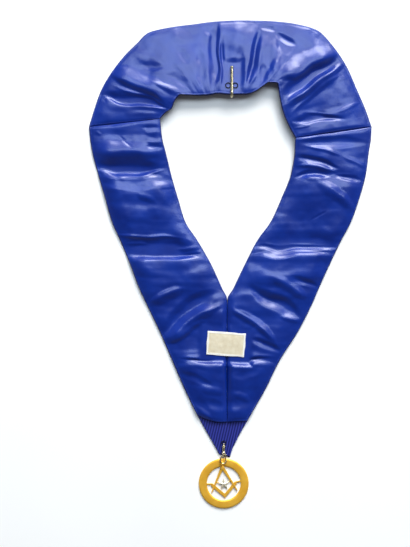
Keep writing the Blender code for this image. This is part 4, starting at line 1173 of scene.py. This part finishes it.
def solid(name, shells, material, sharp=None):
    """One object from closed shells; edges sharper than this many degrees stay crisp."""
    bm = bmesh.new()
    for points, faces in shells:
        verts = [bm.verts.new(point) for point in points]
        for face in faces:
            bm.faces.new([verts[i] for i in face])
    bmesh.ops.recalc_face_normals(bm, faces=bm.faces)
    mesh = bpy.data.meshes.new(name)
    bm.to_mesh(mesh)
    bm.free()
    mesh.shade_smooth()
    if sharp is not None:
        mesh.set_sharp_from_angle(angle=math.radians(sharp))
    mesh.materials.append(material)
    return linked(name, mesh)


def circle(radius, sides):
    turns = np.linspace(0.0, math.tau, sides, endpoint=False)
    return np.stack([radius * np.cos(turns), radius * np.sin(turns)], -1)


def turned(rows, sides=48, closed=False):
    """A shell turned about Z from rows of height and radius."""
    rings = []
    for height, radius in rows:
        flat = circle(radius, sides)
        rings.append(np.column_stack([flat, np.full(sides, height)]))
    return skin(rings, closed)


def softened(rows, steps=4):
    """Rows of a turned shape with their corners rounded off."""
    rows = [np.array(row) for row in rows]
    result = [rows[0]]
    for before, corner, after in zip(rows, rows[1:], rows[2:]):
        reach = min(np.linalg.norm(before - corner), np.linalg.norm(after - corner)) * CORNER_SHARE
        start = corner + (before - corner) / np.linalg.norm(before - corner) * reach
        end = corner + (after - corner) / np.linalg.norm(after - corner) * reach
        for t in np.linspace(0.0, 1.0, steps):
            result.append(start * (1 - t) ** 2 + corner * 2 * t * (1 - t) + end * t * t)
    result.append(rows[-1])
    return result


def wire_ring(major, wire, around=64, sides=16):
    """A ring of round wire in its own XY plane."""
    rings = []
    for turn in np.linspace(0.0, math.tau, around, endpoint=False):
        out = np.array([math.cos(turn), math.sin(turn), 0.0])
        flat = circle(wire, sides)
        rings.append([out * (major + a) + np.array([0.0, 0.0, b]) for a, b in flat])
    return skin(rings, closed=True)


def swept(path, sections, across):
    """A shell of 2-D sections along a path; their first axis stays on the side of across."""
    path = np.array([tuple(point) for point in path])
    tangents = np.gradient(path, axis=0)
    rings = []
    for point, tangent, section in zip(path, tangents, sections):
        tangent = tangent / np.linalg.norm(tangent)
        first = np.array(across) - tangent * np.dot(across, tangent)
        first /= np.linalg.norm(first)
        second = np.cross(tangent, first)
        rings.append([point + first * a + second * b for a, b in section])
    return skin(rings)


def through(points, per_span):
    """Points along a smooth open curve through the given ones."""
    result = []
    ends = [points[0], *points, points[-1]]
    for i in range(len(points) - 1):
        p0, p1, p2, p3 = (Vector(p) for p in ends[i:i + 4])
        for k in range(per_span):
            t = k / per_span
            result.append(
                0.5 * ((2 * p1) + (p2 - p0) * t + (2 * p0 - 5 * p1 + 4 * p2 - p3) * t ** 2
                       + (3 * p1 - p0 - 3 * p2 + p3) * t ** 3)
            )
    result.append(Vector(points[-1]))
    return result


def round_wire(path, radius, across, sides=20, nose=True):
    """A wire along a path, with a rounded end."""
    path = [Vector(point) for point in path]
    radii = [radius] * len(path)
    if nose:
        direction = (path[-1] - path[-2]).normalized()
        for k in range(1, NOSE_STEPS + 1):
            turn = math.radians(NOSE_DEGREES * k)
            path.append(path[-k] + direction * radius * math.sin(turn))
            radii.append(radius * math.cos(turn))
    return swept(path, [circle(r, sides) for r in radii], across)


def bevelled(outline, low, high, bevel):
    """A plate with its upper and lower edges bevelled."""
    bm = bmesh.new()
    face = bm.faces.new([bm.verts.new((x, y, low)) for x, y in outline])
    raised = bmesh.ops.extrude_face_region(bm, geom=[face], use_keep_orig=True)
    top = [item for item in raised["geom"] if isinstance(item, bmesh.types.BMVert)]
    bmesh.ops.translate(bm, verts=top, vec=(0.0, 0.0, high - low))
    bmesh.ops.recalc_face_normals(bm, faces=bm.faces)
    edges = [
        edge for edge in bm.edges if abs(edge.verts[0].co.z - edge.verts[1].co.z) < bevel / 10
    ]
    bmesh.ops.bevel(
        bm, geom=edges, offset=bevel, segments=2, profile=0.5, affect="EDGES", clamp_overlap=True
    )
    bm.verts.index_update()
    points = np.array([tuple(vert.co) for vert in bm.verts])
    faces = [[vert.index for vert in face.verts] for face in bm.faces]
    bm.free()
    return points, faces


def along_y(x, y, z):
    """Places a turned shape's own Z axis along -Y, from this point."""
    return Matrix.Translation((x, y, z)) @ Matrix.Rotation(math.radians(90), 4, "X")


def metal_piece(name, shells, material, body, stands_for, sharp=38):
    item = solid(name, shells, material, sharp)
    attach(item, body)
    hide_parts(stands_for)
    return item


# Neck bar and eye

def neck_top(lining, x, y):
    """The lining's upper side at a place in the middle of the neck."""
    low, high = (share * lining.panel.length for share in NECK_SEARCH)
    for _ in range(HALVINGS):
        along = (low + high) / 2
        row = lining.panel.rows(np.array([along]))[0]
        share = (y - row[1]) / (row[3] - row[1])
        if row[0] + (row[2] - row[0]) * share < x:
            low = along
        else:
            high = along
    width = math.hypot(row[2] - row[0], row[3] - row[1])
    x, y, top, _ = lining.surfaces(np.array([along]), np.array([share * width]))
    return Vector((x[0], y[0], top[0]))


def neck_line(lining):
    """The line on the lining under the bar: its lower point, its direction, and the way up."""
    low = neck_top(lining, BAR_X, BAR_LOW_Y)
    direction = (neck_top(lining, BAR_X, BAR_TOP_Y) - low).normalized()
    return low, direction, Vector((1.0, 0.0, 0.0)).cross(direction)


def bar_section(reach, turn, roundness):
    """A square with soft corners turned by an angle, or a circle where roundness is 1."""
    points = []
    for angle in np.linspace(0.0, math.tau, BAR_SIDES, endpoint=False):
        total = abs(math.cos(angle)) ** BAR_POWER + abs(math.sin(angle)) ** BAR_POWER
        square = 1.0 / total ** (1.0 / BAR_POWER)
        radius = reach * (square * (1.0 - roundness) + roundness)
        points.append((radius * math.cos(angle + turn), radius * math.sin(angle + turn)))
    return points


def bar_piece(lining, material):
    """The twisted bar: a bent foot at the edge, the twist, a collar and a ball on top."""
    low, direction, up = neck_line(lining)
    base = low + up * (3 * GAP + 2 * EYE_WIRE + BAR_CORNER)
    length = (BAR_TOP_Y - BAR_LOW_Y) / direction.y
    path = []
    sections = []
    for i in range(FOOT_STEPS):
        bend = FOOT_BEND * (1.0 - i / FOOT_STEPS)
        path.append(
            base - direction * FOOT_RADIUS * math.sin(bend) - up * FOOT_RADIUS * (1 - math.cos(bend))
        )
        corner = BAR_CORNER * (FOOT_START + (1.0 - FOOT_START) * i / FOOT_STEPS)
        sections.append(bar_section(corner, 0.0, BAR_ROUND))
    steps = BAR_TURNS * BAR_STEPS
    for i in range(steps + 1):
        share = i / steps
        plain = smooth_step(1.0 - min(share, 1.0 - share) / BAR_PLAIN_END)
        path.append(base + direction * length * share)
        sections.append(bar_section(BAR_CORNER, math.tau * BAR_TURNS * share, BAR_ROUND * plain))
    for height, radius in BAR_TOP_ROWS:
        path.append(base + direction * (length + height))
        sections.append(bar_section(radius, 0.0, 1.0))
    shell = swept(path, sections, (1.0, 0.0, 0.0))
    return metal_piece("twisted_bar", [shell], material, "collar", "neck_bar", 60)


def eye_piece(lining, material):
    """Two flat rings of black wire joined by a short wire that passes under the bar."""
    low, direction, up = neck_line(lining)
    middle = low + direction * (EYE_Y - BAR_LOW_Y) / direction.y + up * (2 * GAP + EYE_WIRE)
    place = Matrix.Translation(middle) @ direction.to_track_quat("Y", "Z").to_matrix().to_4x4()
    shells = []
    for x in (EYE_LEFT_X - BAR_X, EYE_RIGHT_X - BAR_X):
        shells.append(placed(wire_ring(EYE_RING, EYE_WIRE), place @ Matrix.Translation((x, 0, 0))))
    ends = [
        (x, 0.0, 0.0) for x in (EYE_LEFT_X - BAR_X + EYE_RING, EYE_RIGHT_X - BAR_X - EYE_RING)
    ]
    link = round_wire([ends[0], ends[1]], EYE_LINK_WIRE, UP, nose=False)
    shells.append(placed(link, place))
    return metal_piece("wire_eye", shells, material, "collar", "neck_eye")


# Loop and clip

def tip_loop_piece(material):
    height = TIP_TOP + GAP + LOOP_WIRE + LOOP_MAJOR * math.sin(LOOP_TILT)
    place = Matrix.Translation((CLIP_X, LOOP_Y, height)) @ Matrix.Rotation(-LOOP_TILT, 4, "X")
    shells = [placed(wire_ring(LOOP_MAJOR, LOOP_WIRE), place)]
    return metal_piece("sewn_loop", shells, material, "collar", "tip_loop")


def clip_eye_piece(material):
    """A knob with a ring on one side and the swivel's stud on the other."""
    place = along_y(CLIP_X, KNOB_Y, CLIP_Z)
    rows = [
        (-KNOB_HALF * math.cos(turn), KNOB_RADIUS * math.sin(turn) ** KNOB_FLATTEN)
        for turn in np.linspace(KNOB_END_TURN, math.pi - KNOB_END_TURN, KNOB_ROWS)
    ]
    upright = Matrix.Translation((CLIP_X, RING_Y, CLIP_Z)) @ Matrix.Rotation(
        math.radians(90), 4, "Y"
    )
    stud = turned([(0.0, STUD_RADIUS), (KNOB_Y - STUD_END_Y, STUD_RADIUS)], 32)
    shells = [
        placed(turned(rows), place),
        placed(wire_ring(RING_MAJOR, RING_WIRE), upright),
        placed(stud, place),
    ]
    return metal_piece("swivel_eye", shells, material, "collar", "clip_eye")


def ear_outline():
    outline = [
        (LEVER_EYE * math.cos(math.radians(a)), LEVER_EYE * math.sin(math.radians(a)))
        for a in range(180, 361, 15)
    ]
    return outline + [(LEVER_EYE, EAR_BACK), (-LEVER_EYE, EAR_BACK)]


def hook_piece(material):
    """The turned barrel with its swivel hole, the hook, and the ears and pin of the lever."""
    place = along_y(CLIP_X, BARREL_TOP_Y, CLIP_Z)
    bore = BARREL_TOP_Y - BORE_END_Y
    hole = [(bore, AXIS_RADIUS), (bore, BORE_RADIUS), (0.0, BORE_RADIUS)]
    rows = [*hole, *softened(BARREL), (BARREL[-1][0] + BARREL_END, AXIS_RADIUS)]
    route = through([(x, y, CLIP_Z) for x, y in HOOK], HOOK_STEPS)
    pivot = Matrix.Translation((*LEVER_PIVOT, CLIP_Z))
    inner = LEVER_EYE_HALF + GAP
    outer = inner + EAR_THICK
    reach = outer + PIN_PAST_EAR
    pin = softened([
        (-reach, PIN_END), (-reach, PIN_RADIUS), (reach, PIN_RADIUS), (reach, PIN_END),
    ], 3)
    shells = [
        placed(turned(rows), place),
        round_wire(route, HOOK_WIRE, UP),
        placed(bevelled(ear_outline(), inner, outer, EAR_BEVEL), pivot),
        placed(bevelled(ear_outline(), -outer, -inner, EAR_BEVEL), pivot),
        placed(turned(pin, 20), pivot),
    ]
    return metal_piece("swivel_hook", shells, material, "hook", "clip_hook")


def lever_piece(material):
    """The gate: an eye round the pin and a finger that closes on the nose."""
    pivot = Matrix.Translation((*LEVER_PIVOT, CLIP_Z))
    half = LEVER_EYE_HALF
    rows = softened([
        (-half, LEVER_BORE), (-half, LEVER_EYE), (half, LEVER_EYE), (half, LEVER_BORE),
    ], 3)
    start = Vector((*LEVER_PIVOT, CLIP_Z))
    end = Vector((*LEVER_TIP, CLIP_Z))
    shares = np.linspace(LEVER_ROOT, LEVER_REACH, LEVER_STEPS)
    finger = round_wire([start.lerp(end, share) for share in shares], LEVER_WIRE, UP)
    shells = [placed(turned(rows, 40, closed=True), pivot), finger]
    return metal_piece("swivel_lever", shells, material, "lever", "clip_lever")


# Jewel

def bar_outline(bar):
    """The outline of a tapered bar between its two ends."""
    start = Vector((bar.x0, bar.y0))
    end = Vector((bar.x1, bar.y1))
    run = end - start
    side = Vector((-run.y, run.x)).normalized()
    return [
        tuple(start + side * bar.half_start),
        tuple(start - side * bar.half_start),
        tuple(end - side * bar.half_end),
        tuple(end + side * bar.half_end),
    ]


def star_shell():
    """A star of ten facets that rise to its middle."""
    rim = []
    for k in range(STAR_CORNERS):
        radius = STAR_NOTCH if k % 2 else STAR_POINT
        turn = math.radians(90 + 360 / STAR_CORNERS * k)
        rim.append((radius * math.cos(turn), radius * math.sin(turn) + STAR_Y))
    low = [(x, y, STAR_LOW) for x, y in rim]
    high = [(x, y, STAR_SIDE) for x, y in rim]
    points = np.array([*low, *high, (0.0, STAR_Y, STAR_HIGH)])
    faces = []
    for k in range(STAR_CORNERS):
        after = (k + 1) % STAR_CORNERS
        faces.append([k, after, after + STAR_CORNERS, k + STAR_CORNERS])
        faces.append([k + STAR_CORNERS, after + STAR_CORNERS, 2 * STAR_CORNERS])
    faces.append(list(reversed(range(STAR_CORNERS))))
    return points, faces


def jewel_pieces(gold, pale):
    """The bevelled ring with square, compasses and star, and the loop standing on it."""
    place = Matrix.Translation((*JEWEL_CENTRE, 0.0)) @ Matrix.Rotation(JEWEL_TURN, 4, "Z")
    low_bevel = JEWEL_BEVEL / 2
    high_bevel = JEWEL_BEVEL * 2
    profile = [
        (0.0, JEWEL_INNER + low_bevel),
        (0.0, JEWEL_OUTER - low_bevel),
        (JEWEL_BEVEL, JEWEL_OUTER),
        (JEWEL_THICK - JEWEL_BEVEL, JEWEL_OUTER),
        (JEWEL_THICK, JEWEL_OUTER - high_bevel),
        (JEWEL_THICK, JEWEL_INNER + high_bevel),
        (JEWEL_THICK - JEWEL_BEVEL, JEWEL_INNER),
        (JEWEL_BEVEL, JEWEL_INNER),
    ]
    wrapped = [profile[-1], *profile, profile[0]]
    ring = turned(softened(wrapped, 3)[1:-1], JEWEL_SIDES, closed=True)
    head = turned(softened(HEAD, 5))
    height = JEWEL_THICK - JEWEL_LOOP_SUNK + JEWEL_LOOP_MAJOR + JEWEL_LOOP_WIRE
    upright = (
        Matrix.Translation((0.0, JEWEL_LOOP_Y, height)) @ Matrix.Rotation(-JEWEL_TURN, 4, "Z")
        @ Matrix.Rotation(math.radians(90), 4, "Y")
    )
    shells = [ring]
    shells += [bevelled(bar_outline(bar), bar.low, bar.high, BAR_BEVEL) for bar in JEWEL_BARS]
    shells.append(placed(head, Matrix.Translation((0.0, HEAD_Y, 0.0))))
    shells.append(placed(wire_ring(JEWEL_LOOP_MAJOR, JEWEL_LOOP_WIRE), upright))
    frame_piece = metal_piece(
        "jewel_frame", [placed(shell, place) for shell in shells], gold, "collar",
        "jewel", 25,
    )
    star = metal_piece(
        "jewel_star", [placed(star_shell(), place)], pale, "collar", "jewel", 5
    )
    return frame_piece, star


# Studio

def soft_light(name, place, size, power, colour):
    light = bpy.data.lights.new(name, "AREA")
    light.shape = "RECTANGLE"
    light.size, light.size_y = size
    light.energy = power
    light.color = colour
    item = linked(name, light)
    item.location = place
    item.rotation_euler = (-Vector(place)).to_track_quat("-Z", "Y").to_euler()


def make_floor():
    material, nodes, links = new_material("paper")
    shader = nodes["Principled BSDF"]
    tone = noise_value(nodes, links, 3.0, 3.0)
    links.new(ramp(nodes, links, tone, [(0.3, 0.90), (0.7, 0.93)]), shader.inputs["Base Color"])
    shader.inputs["Roughness"].default_value = 0.9
    shader.inputs["Specular IOR Level"].default_value = 0.1
    bm = bmesh.new()
    bmesh.ops.create_grid(bm, x_segments=2, y_segments=2, size=FLOOR_HALF)
    mesh = bpy.data.meshes.new("floor")
    bm.to_mesh(mesh)
    bm.free()
    mesh.materials.append(material)
    floor = linked("floor", mesh)
    floor.location = (0.0, 0.0, -FLOOR_BELOW)


def make_world():
    world = bpy.data.worlds.new("studio")
    world.use_nodes = True
    nodes = world.node_tree.nodes
    links = world.node_tree.links
    position = nodes.new("ShaderNodeTexCoord")
    split = nodes.new("ShaderNodeSeparateXYZ")
    links.new(position.outputs["Generated"], split.inputs["Vector"])
    sky = ramp(nodes, links, split.outputs["Z"], WORLD_STOPS)
    links.new(sky, nodes["Background"].inputs["Color"])
    nodes["Background"].inputs["Strength"].default_value = 1.0
    bpy.context.scene.world = world


def make_camera():
    camera = bpy.data.cameras.new("camera")
    camera.lens = LENS_MM
    camera.sensor_width = SENSOR_MM
    camera.sensor_height = SENSOR_MM
    camera.sensor_fit = "AUTO"
    item = linked("camera", camera)
    item.location = (*VIEW_CENTRE, VIEW_HEIGHT * LENS_MM / SENSOR_MM)
    bpy.context.scene.camera = item


def main():
    bpy.context.scene.view_settings.view_transform = "Standard"
    bpy.context.scene.view_settings.gamma = VIEW_GAMMA
    blue = leathercloth()
    ribbon = ribbed_cloth("ribbon_cloth", (0.010, 0.012, 0.105), (0.020, 0.022, 0.170))
    # The tip's ribbing has painted sheen and painted shade in bands along its ribs
    sheen_banded_ribbing = ribbed_cloth("tip_ribbing_painted_sheen", (0.014, 0.022, 0.165), (0.046, 0.058, 0.340), True)
    cream = label_cloth()
    gilt = metal("pale_gilt", (0.55, 0.50, 0.33), (0.80, 0.74, 0.52), (0.22, 0.32))
    black = metal("black_wire", (0.010, 0.010, 0.012), (0.028, 0.028, 0.032), (0.30, 0.42))
    gold = metal("gilt_jewel", (0.88, 0.50, 0.060), (1.00, 0.62, 0.100), (0.36, 0.46), 60.0, 0.40)
    pale = metal("polished_star", (0.88, 0.80, 0.62), (0.96, 0.90, 0.76), (0.16, 0.24), 90.0, 0.45)
    blue_thread = thread("blue_thread", (0.020, 0.050, 0.330), (0.040, 0.090, 0.480))
    white_thread = thread("white_thread", (0.72, 0.70, 0.62), (0.86, 0.84, 0.78))

    neck = Lining(NECK, False, 11)
    left = Lining(LEFT_ARM, True, 21)
    right = Lining(RIGHT_ARM, True, 31)
    arms = {"left": (left, LEFT_ARM, LEFT_POINT), "right": (right, RIGHT_ARM, RIGHT_POINT)}

    neck_cloth = lining_piece("neck_leathercloth", neck, blue)
    neck_base = ribbon_piece("neck_ribbed", NECK, SEAM_HALF_GAP, SEAM_HALF_GAP, 0.0, ribbon)
    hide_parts("neck_lining")
    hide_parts("neck_ribbon")
    neck_thread = edge_stitches("neck_stitching", neck, blue_thread)
    for side, (lining, arm, point) in arms.items():
        cloth = lining_piece(f"{side}_leathercloth", lining, blue)
        base = ribbon_piece(
            f"{side}_ribbed", arm + point, SEAM_HALF_GAP, 0.0, SEAM_HALF_GAP, ribbon
        )
        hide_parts(f"{side}_lining")
        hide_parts(f"{side}_ribbon")
        stitches = edge_stitches(f"{side}_stitching", lining, blue_thread)

    tip = tip_piece(sheen_banded_ribbing)
    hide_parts("tip_ribbon")
    label = label_piece(cream)
    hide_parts("label")
    label_stitches(white_thread)

    bar_piece(neck, gilt)
    eye_piece(neck, black)
    tip_loop_piece(black)
    clip_eye_piece(gilt)
    hook_piece(gilt)
    lever_piece(gilt)
    jewel_pieces(gold, pale)

    make_floor()
    make_world()
    for light in LIGHTS:
        soft_light(*light)
    make_camera()


main()
